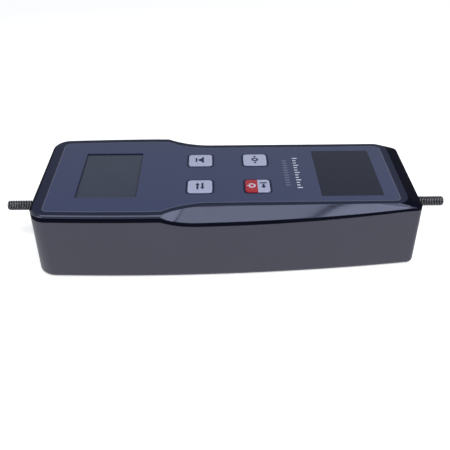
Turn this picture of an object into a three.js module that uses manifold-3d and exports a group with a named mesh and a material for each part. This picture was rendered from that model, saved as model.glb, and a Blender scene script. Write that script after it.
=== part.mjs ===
// Digital force gauge with a stud at each end.
// Millimetres, +Z out of the display face, origin under the middle of the back face.
// +X runs along the gauge from the display end to the foot end, -Y is the near side.
import * as THREE from 'three';
import { mergeVertices } from 'three/addons/utils/BufferGeometryUtils.js';
import Module from 'manifold-3d';

const wasm = await Module();
wasm.setup();

// Casing
const bodyLength = 215.2;
const bodyWidth = 89;
const bodyHeight = 42;
const wall = 2.4;
const floorThickness = 2.5;
const ceilingThickness = 2.8;
const displayCornerRadius = 10;
const footCornerRadius = 3.6;
const bottomRounding = 3;
const draftInset = 0.2;
const innerCornerRadius = 1.5;
const partingGap = 0.2;

// Each side is one long arc, widest under the display
const sideArcRadius = 1163;
const widestFromEnd = 63;

// Depth of the parting line and of the lip's top edge under the flat top
const partingDepthAtDisplay = 4.15;
const partingDepthAtWaist = 7.45;
const partingDepthAtFoot = 4.65;
const lipTopDepthAtDisplay = 1.4;
const lipTopDepthAtWaist = 5.2;
const lipTopDepthAtFoot = 3.05;
const dipEarly = 7;
const dipBendShare = 0.5;
const riseStopFromFoot = 10.3;

// Flat top of the front shell
const shoulderAtDisplay = 1.4;
const flankAtGrip = 10;
const shoulderAtDisplayEnd = 1.6;
const slopeAtFootEnd = 7.6;
const plateauDisplayRadius = 8;
const plateauFootRadius = 8;
const waistStartShare = 0.1402;
const waistEndShare = 0.4159;
const waistBendShare = 0.25;
const flankFlatShare = 0.85;
const flankSettle = 5;

// Label, window and dark plate in the top
const labelThickness = 0.5;
const labelGap = 0.1;
const labelPocketDepth = 0.7;
const labelMarginAtDisplay = 3.4;
const labelMarginAtGrip = 2.85;
const labelMarginAtDisplayEnd = 5.15;
const labelMarginAtFootEnd = 3.85;
const labelCornerRadius = 4;
const labelEdgeGap = 0.15;
const windowFromEnd = 22.75;
const windowLength = 34.2;
const windowSideMargin = 14.55;
const windowPlateThickness = 1.3;
const windowPlateOverlap = 1.2;
const windowSeatGap = 0.1;
const windowLedge = 1.5;
const plateFromEnd = 20.45;
const plateLength = 34.4;
const plateSideMargin = 5.95;
const plateThickness = 0.55;
const plateEdgeGap = 0.1;

// Keys
const keyLength = 14.4;
const keyWidth = 13.7;
const keyCornerRadius = 1.6;
const keyStandOut = 0.5;
const keyTravel = 0.4;
const keyHoleGap = 0.25;
const keyFlangeOverlap = 1;
const keyFlangeThickness = 0.9;
const keyRetainGap = 0.25;
const keyStopGap = 0.1;
const firstKeyColumnShare = 0.3414;
const secondKeyColumnShare = 0.6577;
const keyRowShare = 0.4348;

// Tactile switches and main board
const switchSide = 6;
const switchBodyHeight = 3.1;
const switchPlungerRadius = 1.75;
const switchPlungerHeight = 1.2;
const boardThickness = 1.6;
const boardFromEnd = 15.8;
const boardPastKeys = 16;
const boardSideMargin = 8;
const solderGap = 0.1;

// Display module
const glassThickness = 2.8;
const glassMargin = 1.4;
const frameWall = 1.2;
const frameGap = 0.3;
const stripThickness = 2;
const stripInset = 1;

// Studs, with the thread of a 6 mm metric screw
const studRadius = 3;
const studRootDepth = 0.55;
const studPitch = 1;
const studReach = 23.4;
const studHeight = 21;
const studChamfer = 0.7;
const studThreadInside = 1.4;
const runningGap = 0.3;
const elasticTravel = 0.25;
const nutAcrossFlats = 10;
const nutThickness = 5;

// Load cell
const cellToTray = 18;
const cellLength = 60;
const cellSideMargin = 19.5;
const cellThickness = 14;
const cellSlotWidth = 4;
const cellSlotFromEnd = 13;
const cellSlotReachShare = 0.74;
const cellEyeRadius = 6;
const cellEyeSpacing = 13;
const cellStudDepth = 9;
const cellCoverThickness = 1;
const cellCoverOverlap = 2;
const gaugeThickness = 0.4;
const gaugeLength = 7;
const gaugeHeight = 5;

// Bracket and bushes that carry the studs
const bracketThickness = 4;
const bracketTop = 33;
const bracketFootLength = 13;
const bracketFootWidth = 6;
const bracketFootThickness = 3;
const bracketBossRadius = 3;
const bracketBossToDoor = 0.8;
const bracketBossTop = 8.7;
const seatGap = 0.3;
const bushFlangeRadius = 7.5;
const bushFlangeThickness = 1.5;
const bushRadius = 5.5;
const bushStandOut = 0.8;

// Batteries, their tray and the sliding door
const batteryRadius = 5.25;
const batteryLength = 44.5;
const batteryNubRadius = 1.9;
const batteryNubLength = 0.8;
const batteryCount = 3;
const batterySpacing = 0.4;
const trayToBracket = 8.1;
const trayWall = 2;
const trayRoof = 1.2;
const contactThickness = 0.4;
const contactHeight = 9;
const contactBumpRadius = 2.2;
const springBump = 2;
const plainBump = 1.5;
const contactEdgeGap = 0.6;
const doorPastTray = 3;
const doorLip = 1.2;
const doorLipThickness = 0.8;
const doorLift = 0.3;
const doorRibCount = 5;
const doorRibWidth = 1;
const doorRibPitch = 2.6;
const doorRibLength = 20;
const doorRibHeight = 0.22;
const doorRibFromEnd = 16;

// Screws, posts and bosses
const screwShankRadius = 1.35;
const screwHeadRadius = 2.7;
const screwHeadHeight = 1.9;
const screwRecessWidth = 0.6;
const screwRecessDepth = 0.9;
const screwGap = 0.3;
const postRadius = 3.8;
const postTop = 30;
const counterboreDepth = 18;
const caseScrewLength = 17;
const displayPostFromEnd = 11.3;
const displayPostFromSide = 10.5;
const footPostFromEnd = 26.2;
const footPostFromSide = 7.2;
const boardBossRadius = 2.9;
const boardScrewLength = 6;
const boardBossFromEdge = 3.6;
const boardBossFromFlank = 5.3;

// Chips, connectors and leads
const chipHeight = 1.6;
const controllerSide = 12;
const converterLength = 6;
const converterWidth = 9;
const regulatorSide = 6;
const pinPitch = 1.27;
const pinWidth = 0.5;
const pinReach = 1.2;
const pinThickness = 0.3;
const capacitorRadius = 3.1;
const capacitorHeight = 3;
const capacitorPitch = 9;
const crystalLength = 11;
const crystalWidth = 4.6;
const connectorLength = 8;
const connectorWidth = 5;
const connectorHeight = 3.6;
const connectorWall = 0.9;
const connectorDepth = 2;
const connectorFromEdge = 5.5;
const leadRadius = 1.1;
const leadSides = 6;
const leadSteps = 8;

// Facet counts
const endSteps = 2;
const displayCornerSteps = 7;
const footCornerSteps = 6;
const leadInSteps = 3;
const waistSteps = 12;
const gripSteps = 6;
const roundingSteps = 3;
const flankSteps = 4;
const cornerSegments = 2;
const roundSegments = 16;
const screwSegments = 10;
const nutSides = 6;
const threadSides = 12;
const threadOverrun = 2;

// Lengths worked out from the ones above
const overrun = wall;
const halfBody = bodyLength / 2;
const bodyHalfWidth = bodyWidth / 2;
const top = bodyHeight;
const plateauHalfAtDisplay = bodyHalfWidth - shoulderAtDisplay;
const plateauHalfAtGrip = bodyHalfWidth - flankAtGrip;
const windowCenterX = -halfBody + windowFromEnd + windowLength / 2;
const windowWidth = 2 * (plateauHalfAtDisplay - labelMarginAtDisplay - windowSideMargin);
const plateCenterX = halfBody - plateFromEnd - plateLength / 2;
const plateWidth = 2 * (plateauHalfAtGrip - labelMarginAtGrip - plateSideMargin);
const keyFieldStart = windowCenterX + windowLength / 2;
const keyFieldLength = plateCenterX - plateLength / 2 - keyFieldStart;
const firstKeyColumnX = keyFieldStart + firstKeyColumnShare * keyFieldLength;
const secondKeyColumnX = keyFieldStart + secondKeyColumnShare * keyFieldLength;
const keyRowY = keyRowShare * plateauHalfAtGrip;
const waistStart = keyFieldStart + waistStartShare * keyFieldLength;
const waistEnd = keyFieldStart + waistEndShare * keyFieldLength;
const widestX = -halfBody + widestFromEnd;
const dipEnd = waistEnd - dipEarly;
const riseEnd = halfBody - riseStopFromFoot;
const plateauHalfAtCorner = casingHalfWidth(waistStart) - shoulderAtDisplay;
const ceiling = top - ceilingThickness;
const pocketFloor = top - labelPocketDepth;
const labelBottom = pocketFloor + labelGap;
const windowTop = pocketFloor - windowSeatGap;
const windowBottom = windowTop - windowPlateThickness;
const keyTop = top + keyStandOut;
const keyFlangeTop = ceiling - keyRetainGap;
const keyFlangeBottom = keyFlangeTop - keyFlangeThickness;
const switchTop = keyFlangeBottom - keyTravel - keyStopGap;
const boardTop = switchTop - switchPlungerHeight - switchBodyHeight - solderGap;
const boardBottom = boardTop - boardThickness;
const chipTop = boardBottom - solderGap;
const boardStartX = -halfBody + boardFromEnd;
const boardEndX = secondKeyColumnX + boardPastKeys;
const boardHalfWidth = bodyHalfWidth - boardSideMargin;
const studTip = halfBody + studReach;
const innerFootX = halfBody - wall - draftInset;
const bracketEndX = innerFootX - bushFlangeThickness - 2 * seatGap;
const bracketStartX = bracketEndX - bracketThickness;
const bracketBottom = bracketBossTop + seatGap;
const bracketFootX = bracketStartX - bracketFootLength / 2;
const trayInnerLength = batteryLength + springBump + plainBump + 2 * contactThickness + 4 * seatGap;
const trayInnerHalfWidth = batteryCount * batteryRadius + ((batteryCount - 1) * batterySpacing) / 2
  + batterySpacing;
const trayEndX = bracketStartX - bracketFootLength - trayToBracket;
const trayStartX = trayEndX - trayInnerLength - 2 * trayWall;
const doorStartX = trayStartX - doorPastTray;
const trayBottom = floorThickness + seatGap;
const doorTop = floorThickness - seatGap;
const doorHalfWidth = trayInnerHalfWidth - seatGap;
const doorFlangeHalfWidth = doorHalfWidth + doorLip;
const bracketFootY = doorFlangeHalfWidth + seatGap + bracketBossToDoor + bracketBossRadius;
const bracketHalfWidth = bracketFootY + bracketFootWidth / 2;
const cellEndX = trayStartX - cellToTray;
const cellStartX = cellEndX - cellLength;
const cellCenterX = cellEndX - cellLength / 2;
const cellWidth = bodyWidth - 2 * cellSideMargin;
const cellSlotReach = cellSlotReachShare * cellWidth;
const batteryAxisZ = doorTop + seatGap + batteryRadius;
const trayCeiling = batteryAxisZ + batteryRadius + seatGap;

// Materials
const material = (color, roughness, metalness = 0) =>
  new THREE.MeshStandardMaterial({ color, roughness, metalness });
const glossyBlack = material(0x17181f, 0.2);
const satinGrey = material(0x4a4a55, 0.5);
const slateLabel = material(0x474d68, 0.4);
const windowTint = material(0x42485a, 0.15);
const darkPlate = material(0x303440, 0.3);
const keyLavender = material(0xb2b4cc, 0.45);
const keyRed = material(0xbe3a40, 0.45);
const darkSteel = material(0x55565c, 0.35, 1);
const brightSteel = material(0xb8bac0, 0.3, 1);
const aluminium = material(0xc4c6ca, 0.4, 1);
const boardGreen = material(0x1f5a3a, 0.5);
const chipBlack = material(0x1b1b1e, 0.6);
const contactMetal = material(0xc9cbd0, 0.25, 1);
const gaugeFoil = material(0xc99a4a, 0.4);
const batterySleeve = material(0x2c6e9c, 0.35);
const rubberGrey = material(0x6a6a6c, 0.8);
const connectorWhite = material(0xe4e2da, 0.5);
const leadJacket = material(0x3a3a3e, 0.6);
const brass = material(0xb5924a, 0.35, 1);

// Small helpers
const group = new THREE.Group();

function addPart(name, geometry, finish) {
  const mesh = new THREE.Mesh(geometry, finish);
  mesh.name = name;
  group.add(mesh);
  return mesh;
}

function smoothstep(from, to, value) {
  const t = Math.min(1, Math.max(0, (value - from) / (to - from)));
  return t * t * (3 - 2 * t);
}

function mix(a, b, t) {
  return a + (b - a) * t;
}

// A closed geometry as a solid that can be cut and joined
function solid(geometry) {
  const bare = geometry.clone();
  bare.deleteAttribute('normal');
  bare.deleteAttribute('uv');
  const merged = mergeVertices(bare);
  return new wasm.Manifold(new wasm.Mesh({
    numProp: 3,
    vertProperties: new Float32Array(merged.attributes.position.array),
    triVerts: new Uint32Array(merged.index.array),
  }));
}

function geometryOf(body) {
  const mesh = body.getMesh();
  const indexed = new THREE.BufferGeometry();
  indexed.setAttribute('position', new THREE.BufferAttribute(new Float32Array(mesh.vertProperties), 3));
  indexed.setIndex(new THREE.BufferAttribute(new Uint32Array(mesh.triVerts), 1));
  const geometry = indexed.toNonIndexed();
  geometry.computeVertexNormals();
  return geometry;
}

// A box between two corners
function block(x0, x1, y0, y1, z0, z1) {
  const geometry = new THREE.BoxGeometry(x1 - x0, y1 - y0, z1 - z0);
  geometry.translate((x0 + x1) / 2, (y0 + y1) / 2, (z0 + z1) / 2);
  return solid(geometry);
}

// A plate with rounded corners between two heights
function roundedPlate(centerX, centerY, length, width, radius, z0, z1) {
  const shape = new THREE.Shape();
  const x = length / 2 - radius;
  const y = width / 2 - radius;
  shape.absarc(x, y, radius, 0, Math.PI / 2);
  shape.absarc(-x, y, radius, Math.PI / 2, Math.PI);
  shape.absarc(-x, -y, radius, Math.PI, (3 * Math.PI) / 2);
  shape.absarc(x, -y, radius, (3 * Math.PI) / 2, 2 * Math.PI);
  const geometry = new THREE.ExtrudeGeometry(shape, {
    depth: z1 - z0, bevelEnabled: false, curveSegments: cornerSegments,
  });
  geometry.translate(centerX, centerY, z0);
  return solid(geometry);
}

// A round bar along Z between two heights
function barAlongZ(x, y, radius, z0, z1, segments = roundSegments) {
  const geometry = new THREE.CylinderGeometry(radius, radius, z1 - z0, segments);
  geometry.rotateX(Math.PI / 2);
  geometry.translate(x, y, (z0 + z1) / 2);
  return solid(geometry);
}

// A bar along X between two ends, round or with few sides
function barAlongX(y, z, radius, x0, x1, segments = roundSegments) {
  const geometry = new THREE.CylinderGeometry(radius, radius, x1 - x0, segments);
  geometry.rotateZ(Math.PI / 2);
  geometry.translate((x0 + x1) / 2, y, z);
  return solid(geometry);
}

// A closed surface through rings of equal length, capped to the middle of the first and last ring
function loft(rings) {
  const count = rings[0].length;
  const points = rings.flat();
  const positions = points.flatMap((p) => [p.x, p.y, p.z]);
  const middle = (ring) => [0, 0, ring.reduce((sum, p) => sum + p.z, 0) / count];
  const first = points.length;
  const last = first + 1;
  positions.push(...middle(rings[0]), ...middle(rings[rings.length - 1]));
  const faces = [];
  for (let i = 0; i < count; i += 1) {
    const next = (i + 1) % count;
    const lastRing = (rings.length - 1) * count;
    faces.push(first, next, i, last, lastRing + i, lastRing + next);
    for (let r = 0; r + 1 < rings.length; r += 1) {
      const a = r * count;
      const b = a + count;
      faces.push(a + i, a + next, b + next, a + i, b + next, b + i);
    }
  }
  const geometry = new THREE.BufferGeometry();
  geometry.setAttribute('position', new THREE.BufferAttribute(new Float32Array(positions), 3));
  geometry.setIndex(faces);
  return solid(geometry);
}

// Half-width of the casing at its parting line, and how steeply it widens with x
function casingHalfWidth(x) {
  return bodyHalfWidth - (x - widestX) ** 2 / (2 * sideArcRadius);
}

function sideSlope(x) {
  return (widestX - x) / sideArcRadius;
}

// A curve from zero at rest to one, which turns steeper towards its end
function bend(from, to, value, bendShare) {
  const t = Math.min(1, Math.max(0, (value - from) / (to - from)));
  return t * t * (1 + bendShare * (t - 1));
}

// Half-width of the flat top: it follows the side, then sweeps in from the corner of the waist
function plateauHalfWidth(x) {
  const alongSide = casingHalfWidth(x) - shoulderAtDisplay;
  const sweep = bend(waistEnd, waistStart, x, waistBendShare);
  return x < waistStart ? alongSide : mix(plateauHalfAtGrip, plateauHalfAtCorner, sweep);
}

// Height of the parting line and of the lip's top edge: they dip at the waist and rise to the foot
function edgeHeight(x, depthAtDisplay, depthAtWaist, depthAtFoot) {
  const dip = mix(depthAtWaist, depthAtDisplay, bend(dipEnd, waistStart, x, dipBendShare));
  return top - mix(dip, depthAtFoot, bend(waistEnd, riseEnd, x, 0));
}

function partingHeight(x) {
  return edgeHeight(x, partingDepthAtDisplay, partingDepthAtWaist, partingDepthAtFoot);
}

function lipTopHeight(x) {
  return edgeHeight(x, lipTopDepthAtDisplay, lipTopDepthAtWaist, lipTopDepthAtFoot);
}

// Half of a plan outline, from the middle of the display end to the middle of the foot end
function halfOutline({ displayX, footX, halfWidth, displayRadius, footRadius, footSlope }) {
  const points = [];
  const displayArcX = displayX + displayRadius;
  const displaySlope = sideSlope(displayArcX);
  const displayTurn = Math.PI / 2 - Math.atan(displaySlope);
  const displayArcY = halfWidth(displayArcX) - displayRadius * Math.hypot(1, displaySlope);
  const sideStart = displayArcX - displayRadius * Math.cos(displayTurn);
  const footArcX = footX - footRadius;
  const footTurn = Math.PI / 2 - Math.atan(footSlope);
  const footArcY = halfWidth(footArcX) - footRadius * Math.hypot(1, footSlope);
  const sideEnd = footArcX + footRadius * Math.cos(footTurn);
  const stops = [[sideStart, waistStart, leadInSteps], [waistStart, waistEnd, waistSteps],
    [waistEnd, sideEnd, gripSteps]];
  for (let i = 0; i < endSteps; i += 1) {
    points.push([displayX, (displayArcY * i) / endSteps]);
  }
  for (let i = 0; i < displayCornerSteps; i += 1) {
    const angle = Math.PI - (displayTurn * i) / displayCornerSteps;
    points.push([displayArcX + displayRadius * Math.cos(angle),
      displayArcY + displayRadius * Math.sin(angle)]);
  }
  stops.forEach(([from, to, steps]) => {
    for (let i = 0; i < steps; i += 1) {
      const x = mix(from, to, i / steps);
      points.push([x, halfWidth(x)]);
    }
  });
  for (let i = 0; i < footCornerSteps; i += 1) {
    const angle = footTurn * (1 - i / footCornerSteps);
    points.push([footArcX + footRadius * Math.cos(angle), footArcY + footRadius * Math.sin(angle)]);
  }
  for (let i = 0; i <= endSteps; i += 1) {
    points.push([footX, footArcY * (1 - i / endSteps)]);
  }
  return points;
}

// A whole plan outline as a ring, seen from above it runs round to the left
function ringOf(outline, height) {
  const half = halfOutline(outline);
  const near = half.map(([x, y]) => new THREE.Vector3(x, -y, height(x)));
  const far = half.slice(1, -1).reverse().map(([x, y]) => new THREE.Vector3(x, y, height(x)));
  return near.concat(far);
}

function casingOutline(inset, radiusInset = inset) {
  return {
    displayX: -halfBody + inset,
    footX: halfBody - inset,
    halfWidth: (x) => casingHalfWidth(x) - inset,
    displayRadius: Math.max(innerCornerRadius, displayCornerRadius - radiusInset),
    footRadius: Math.max(innerCornerRadius, footCornerRadius - radiusInset),
    footSlope: -sideSlope(halfBody - footCornerRadius),
  };
}

function plateauOutline(inset) {
  return {
    displayX: -halfBody + shoulderAtDisplayEnd + inset,
    footX: halfBody - slopeAtFootEnd - inset,
    halfWidth: (x) => plateauHalfWidth(x) - inset,
    displayRadius: Math.max(innerCornerRadius, plateauDisplayRadius - inset),
    footRadius: Math.max(innerCornerRadius, plateauFootRadius - inset),
    footSlope: 0,
  };
}

// The label follows the flat top at a margin that is wider round the display
function labelOutline(extra) {
  const change = (x) => smoothstep(waistStart, waistEnd, x);
  const margin = (x) => mix(labelMarginAtDisplay, labelMarginAtGrip, change(x)) + extra;
  return {
    displayX: -halfBody + shoulderAtDisplayEnd + labelMarginAtDisplayEnd + extra,
    footX: halfBody - slopeAtFootEnd - labelMarginAtFootEnd - extra,
    halfWidth: (x) => plateauHalfWidth(x) - margin(x),
    displayRadius: labelCornerRadius,
    footRadius: labelCornerRadius,
    footSlope: 0,
  };
}

// Rings of the flank between the flat top and the lip, rounder at the display
function flankRings() {
  const upper = ringOf(plateauOutline(0), () => top);
  const lower = ringOf(casingOutline(0), lipTopHeight);
  const rings = [];
  for (let step = 0; step <= flankSteps; step += 1) {
    const share = 1 - step / flankSteps;
    rings.push(upper.map((u, i) => {
      const l = lower[i];
      const flat = flankFlatShare * smoothstep(waistStart, waistStart + flankSettle, u.x);
      const angle = (share * Math.PI) / 2;
      const out = mix(Math.sin(angle), share, flat);
      const down = mix(1 - Math.cos(angle), share, flat);
      return new THREE.Vector3(mix(u.x, l.x, out), mix(u.y, l.y, out), mix(u.z, l.z, down));
    }));
  }
  return rings;
}

function outerRearRings() {
  const rings = [];
  for (let step = 0; step <= roundingSteps; step += 1) {
    const angle = (step / roundingSteps) * (Math.PI / 2);
    const inset = draftInset + bottomRounding * (1 - Math.sin(angle));
    const height = bottomRounding * (1 - Math.cos(angle));
    rings.push(ringOf(casingOutline(inset, draftInset), () => height));
  }
  rings.push(ringOf(casingOutline(0), (x) => partingHeight(x) - partingGap / 2));
  return rings;
}

// Screw with its head at the bottom and its shank upwards
function screwSolid(x, y, headBottom, length) {
  const head = barAlongZ(x, y, screwHeadRadius, headBottom, headBottom + screwHeadHeight, screwSegments);
  const shankStart = headBottom + screwHeadHeight / 2;
  const shankEnd = headBottom + screwHeadHeight + length;
  const shank = barAlongZ(x, y, screwShankRadius, shankStart, shankEnd, screwSegments);
  const arm = screwHeadRadius / 2;
  const slot = screwRecessWidth / 2;
  const floor = headBottom + screwRecessDepth;
  const recess = block(x - arm, x + arm, y - slot, y + slot, headBottom - overrun, floor)
    .add(block(x - slot, x + slot, y - arm, y + arm, headBottom - overrun, floor));
  return head.add(shank).subtract(recess);
}

const displayPostX = -halfBody + displayPostFromEnd;
const displayPostY = bodyHalfWidth - displayPostFromSide;
const footPostX = halfBody - footPostFromEnd;
const footPostY = casingHalfWidth(footPostX) - footPostFromSide;
const caseScrewPlaces = [[displayPostX, -displayPostY], [displayPostX, displayPostY],
  [footPostX, -footPostY], [footPostX, footPostY]];
const boardBossDisplayX = boardStartX + boardBossFromEdge;
const boardBossDisplayY = boardHalfWidth - boardBossFromEdge;
const boardBossFootX = boardEndX - boardBossFromEdge;
const boardBossFootY = plateauHalfAtGrip - boardBossFromFlank;
const boardScrewPlaces = [[boardBossDisplayX, -boardBossDisplayY], [boardBossDisplayX, boardBossDisplayY],
  [boardBossFootX, -boardBossFootY], [boardBossFootX, boardBossFootY]];
const keyPlaces = [
  ['key_peak', firstKeyColumnX, keyRowY, keyLavender],
  ['key_unit', firstKeyColumnX, -keyRowY, keyLavender],
  ['key_zero', secondKeyColumnX, keyRowY, keyLavender],
  ['key_power', secondKeyColumnX, -keyRowY, keyRed],
];

// Rear shell: a tray with posts, the slot of the battery door and a hole for each stud
function rearShell() {
  const outer = outerRearRings();
  const inner = [
    ringOf(casingOutline(wall), (x) => partingHeight(x) - partingGap / 2),
    ringOf(casingOutline(wall + draftInset), () => floorThickness + bottomRounding / 2),
    ringOf(casingOutline(wall + draftInset + bottomRounding / 2, wall), () => floorThickness),
  ];
  let body = loft([...outer, ...inner]);
  const footing = floorThickness / 2;
  caseScrewPlaces.forEach(([x, y]) => {
    body = body.add(barAlongZ(x, y, postRadius, footing, postTop));
  });
  [-bracketFootY, bracketFootY].forEach((y) => {
    body = body.add(barAlongZ(bracketFootX, y, bracketBossRadius, footing, bracketBossTop));
  });
  const holeRadius = screwShankRadius + screwGap;
  caseScrewPlaces.forEach(([x, y]) => {
    body = body.subtract(barAlongZ(x, y, screwHeadRadius + screwGap, -overrun, counterboreDepth,
      screwSegments));
    body = body.subtract(barAlongZ(x, y, holeRadius, 0, postTop + overrun, screwSegments));
  });
  [-bracketFootY, bracketFootY].forEach((y) => {
    body = body.subtract(barAlongZ(bracketFootX, y, holeRadius, floorThickness, bracketBossTop + overrun,
      screwSegments));
  });
  const slotEnd = halfBody + overrun;
  const lipHalf = doorHalfWidth + seatGap;
  const flangeHalf = doorFlangeHalfWidth + seatGap;
  body = body.subtract(block(doorStartX, slotEnd, -lipHalf, lipHalf, -overrun, floorThickness));
  body = body.subtract(block(doorStartX, slotEnd, -flangeHalf, flangeHalf, doorLipThickness, floorThickness));
  body = body.subtract(block(trayStartX + trayWall, trayEndX - trayWall, -lipHalf, lipHalf, 0,
    floorThickness + overrun));
  const bushHole = bushRadius + runningGap;
  body = body.subtract(barAlongX(0, studHeight, bushHole, -halfBody - overrun, -halfBody + wall + overrun));
  return body.subtract(barAlongX(0, studHeight, bushHole, halfBody - wall - overrun, halfBody + overrun));
}

// Front shell: flat top with its label pocket, sloping flanks and the lip round the edge
function frontShell() {
  const lipBottom = (x) => partingHeight(x) + partingGap / 2;
  const rings = [
    ringOf(plateauOutline(wall / 2), () => ceiling),
    ringOf(casingOutline(wall), lipBottom),
    ringOf(casingOutline(0), lipBottom),
    ...flankRings(),
    ringOf(labelOutline(0), () => top),
    ringOf(labelOutline(0), () => pocketFloor),
  ];
  let body = loft(rings);
  caseScrewPlaces.forEach(([x, y]) => {
    body = body.add(barAlongZ(x, y, boardBossRadius, postTop + seatGap, ceiling + ceilingThickness / 2));
  });
  boardScrewPlaces.forEach(([x, y]) => {
    body = body.add(barAlongZ(x, y, boardBossRadius, boardTop + seatGap, ceiling + ceilingThickness / 2));
  });
  const holeRadius = screwShankRadius + screwGap;
  caseScrewPlaces.forEach(([x, y]) => {
    body = body.subtract(barAlongZ(x, y, holeRadius, postTop, counterboreDepth + caseScrewLength + screwGap,
      screwSegments));
  });
  boardScrewPlaces.forEach(([x, y]) => {
    body = body.subtract(barAlongZ(x, y, holeRadius, boardTop, boardBottom + boardScrewLength + screwGap,
      screwSegments));
  });
  const seatGrowth = 2 * (windowPlateOverlap + labelEdgeGap);
  const seatBottom = windowBottom - windowSeatGap;
  body = body.subtract(block(windowCenterX - (windowLength + seatGrowth) / 2,
    windowCenterX + (windowLength + seatGrowth) / 2, -(windowWidth + seatGrowth) / 2,
    (windowWidth + seatGrowth) / 2, seatBottom, top + overrun));
  body = body.subtract(block(windowCenterX - windowLength / 2 + windowLedge,
    windowCenterX + windowLength / 2 - windowLedge, -windowWidth / 2 + windowLedge,
    windowWidth / 2 - windowLedge, ceiling - overrun, top + overrun));
  keyPlaces.forEach(([, x, y]) => {
    body = body.subtract(roundedPlate(x, y, keyLength + 2 * keyHoleGap, keyWidth + 2 * keyHoleGap,
      keyCornerRadius + keyHoleGap, ceiling - overrun, top + overrun));
  });
  return body;
}

// Thin label in the pocket, cut out for the window, the dark plate and the keys
function frontLabel() {
  const labelTop = labelBottom + labelThickness;
  let body = loft([
    ringOf(labelOutline(labelEdgeGap), () => labelBottom),
    ringOf(labelOutline(labelEdgeGap), () => labelTop),
  ]);
  const cutBottom = labelBottom - overrun;
  const cutTop = labelTop + overrun;
  body = body.subtract(block(windowCenterX - windowLength / 2, windowCenterX + windowLength / 2,
    -windowWidth / 2, windowWidth / 2, cutBottom, cutTop));
  const plateHalfLength = plateLength / 2 + plateEdgeGap;
  const plateHalfWidth = plateWidth / 2 + plateEdgeGap;
  body = body.subtract(block(plateCenterX - plateHalfLength, plateCenterX + plateHalfLength,
    -plateHalfWidth, plateHalfWidth, cutBottom, cutTop));
  keyPlaces.forEach(([, x, y]) => {
    body = body.subtract(roundedPlate(x, y, keyLength + 2 * keyHoleGap, keyWidth + 2 * keyHoleGap,
      keyCornerRadius + keyHoleGap, cutBottom, cutTop));
  });
  return body;
}

function windowPlate() {
  const halfLength = windowLength / 2 + windowPlateOverlap;
  const halfWidth = windowWidth / 2 + windowPlateOverlap;
  return block(windowCenterX - halfLength, windowCenterX + halfLength, -halfWidth, halfWidth,
    windowBottom, windowTop);
}

function blankPlate() {
  return block(plateCenterX - plateLength / 2, plateCenterX + plateLength / 2,
    -plateWidth / 2, plateWidth / 2, labelBottom, labelBottom + plateThickness);
}

// Key cap with the flange that keeps it in the shell
function keyCap(x, y) {
  const cap = roundedPlate(x, y, keyLength, keyWidth, keyCornerRadius, keyFlangeBottom, keyTop);
  const growth = 2 * keyFlangeOverlap;
  const flange = roundedPlate(x, y, keyLength + growth, keyWidth + growth,
    keyCornerRadius + keyFlangeOverlap, keyFlangeBottom, keyFlangeTop);
  return cap.add(flange);
}

function tactileSwitch(x, y) {
  const half = switchSide / 2;
  const base = boardTop + solderGap;
  const body = block(x - half, x + half, y - half, y + half, base, base + switchBodyHeight);
  return body.add(barAlongZ(x, y, switchPlungerRadius, base + switchBodyHeight / 2, switchTop,
    screwSegments));
}

function mainBoard() {
  let body = block(boardStartX, boardEndX, -boardHalfWidth, boardHalfWidth, boardBottom, boardTop);
  boardScrewPlaces.forEach(([x, y]) => {
    body = body.subtract(barAlongZ(x, y, screwShankRadius + screwGap, boardBottom - overrun,
      boardTop + overrun, screwSegments));
  });
  return body;
}

// Display glass, its frame and the two contact strips between glass and board
const glassTop = ceiling - frameGap;
const glassBottom = glassTop - glassThickness;
const glassHalfLength = windowLength / 2 + glassMargin;
const glassHalfWidth = windowWidth / 2 + glassMargin;

function displayGlass() {
  return block(windowCenterX - glassHalfLength, windowCenterX + glassHalfLength,
    -glassHalfWidth, glassHalfWidth, glassBottom, glassTop);
}

function displayFrame() {
  const innerLength = glassHalfLength + frameGap;
  const innerWidth = glassHalfWidth + frameGap;
  const outerLength = innerLength + frameWall;
  const outerWidth = innerWidth + frameWall;
  const base = boardTop + solderGap;
  const outer = block(windowCenterX - outerLength, windowCenterX + outerLength, -outerWidth, outerWidth,
    base, glassTop);
  return outer.subtract(block(windowCenterX - innerLength, windowCenterX + innerLength,
    -innerWidth, innerWidth, base - overrun, glassTop + overrun));
}

function contactStrip(side) {
  const outer = glassHalfWidth - stripInset;
  const inner = outer - stripThickness;
  const low = side < 0 ? -outer : inner;
  const high = side < 0 ? -inner : outer;
  return block(windowCenterX - glassHalfLength + stripInset, windowCenterX + glassHalfLength - stripInset,
    low, high, boardTop + solderGap, glassBottom - solderGap);
}

// A chip under the board with a row of pins on each of two sides
function chip(x, y, length, width) {
  let body = block(x - length / 2, x + length / 2, y - width / 2, y + width / 2,
    chipTop - chipHeight, chipTop);
  const count = Math.floor((length - pinWidth) / pinPitch) + 1;
  for (let i = 0; i < count; i += 1) {
    const pinX = x + (i - (count - 1) / 2) * pinPitch;
    const reach = width / 2 + pinReach;
    body = body.add(block(pinX - pinWidth / 2, pinX + pinWidth / 2, y - reach, y + reach,
      chipTop - pinThickness, chipTop));
  }
  return body;
}

function crystal() {
  return roundedPlate(windowCenterX, keyRowY, crystalLength, crystalWidth, crystalWidth / 2 - solderGap,
    chipTop - chipHeight, chipTop);
}

function capacitor(index) {
  return barAlongZ(secondKeyColumnX - index * capacitorPitch, -keyRowY, capacitorRadius,
    chipTop - capacitorHeight, chipTop, screwSegments);
}

// Connector housing under the board, open downwards
function connector(x, y) {
  const bottom = chipTop - connectorHeight;
  const halfLength = connectorLength / 2;
  const halfWidth = connectorWidth / 2;
  const housing = block(x - halfLength, x + halfLength, y - halfWidth, y + halfWidth, bottom, chipTop);
  return housing.subtract(block(x - halfLength + connectorWall, x + halfLength - connectorWall,
    y - halfWidth + connectorWall, y + halfWidth - connectorWall, bottom - overrun,
    bottom + connectorDepth));
}

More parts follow.
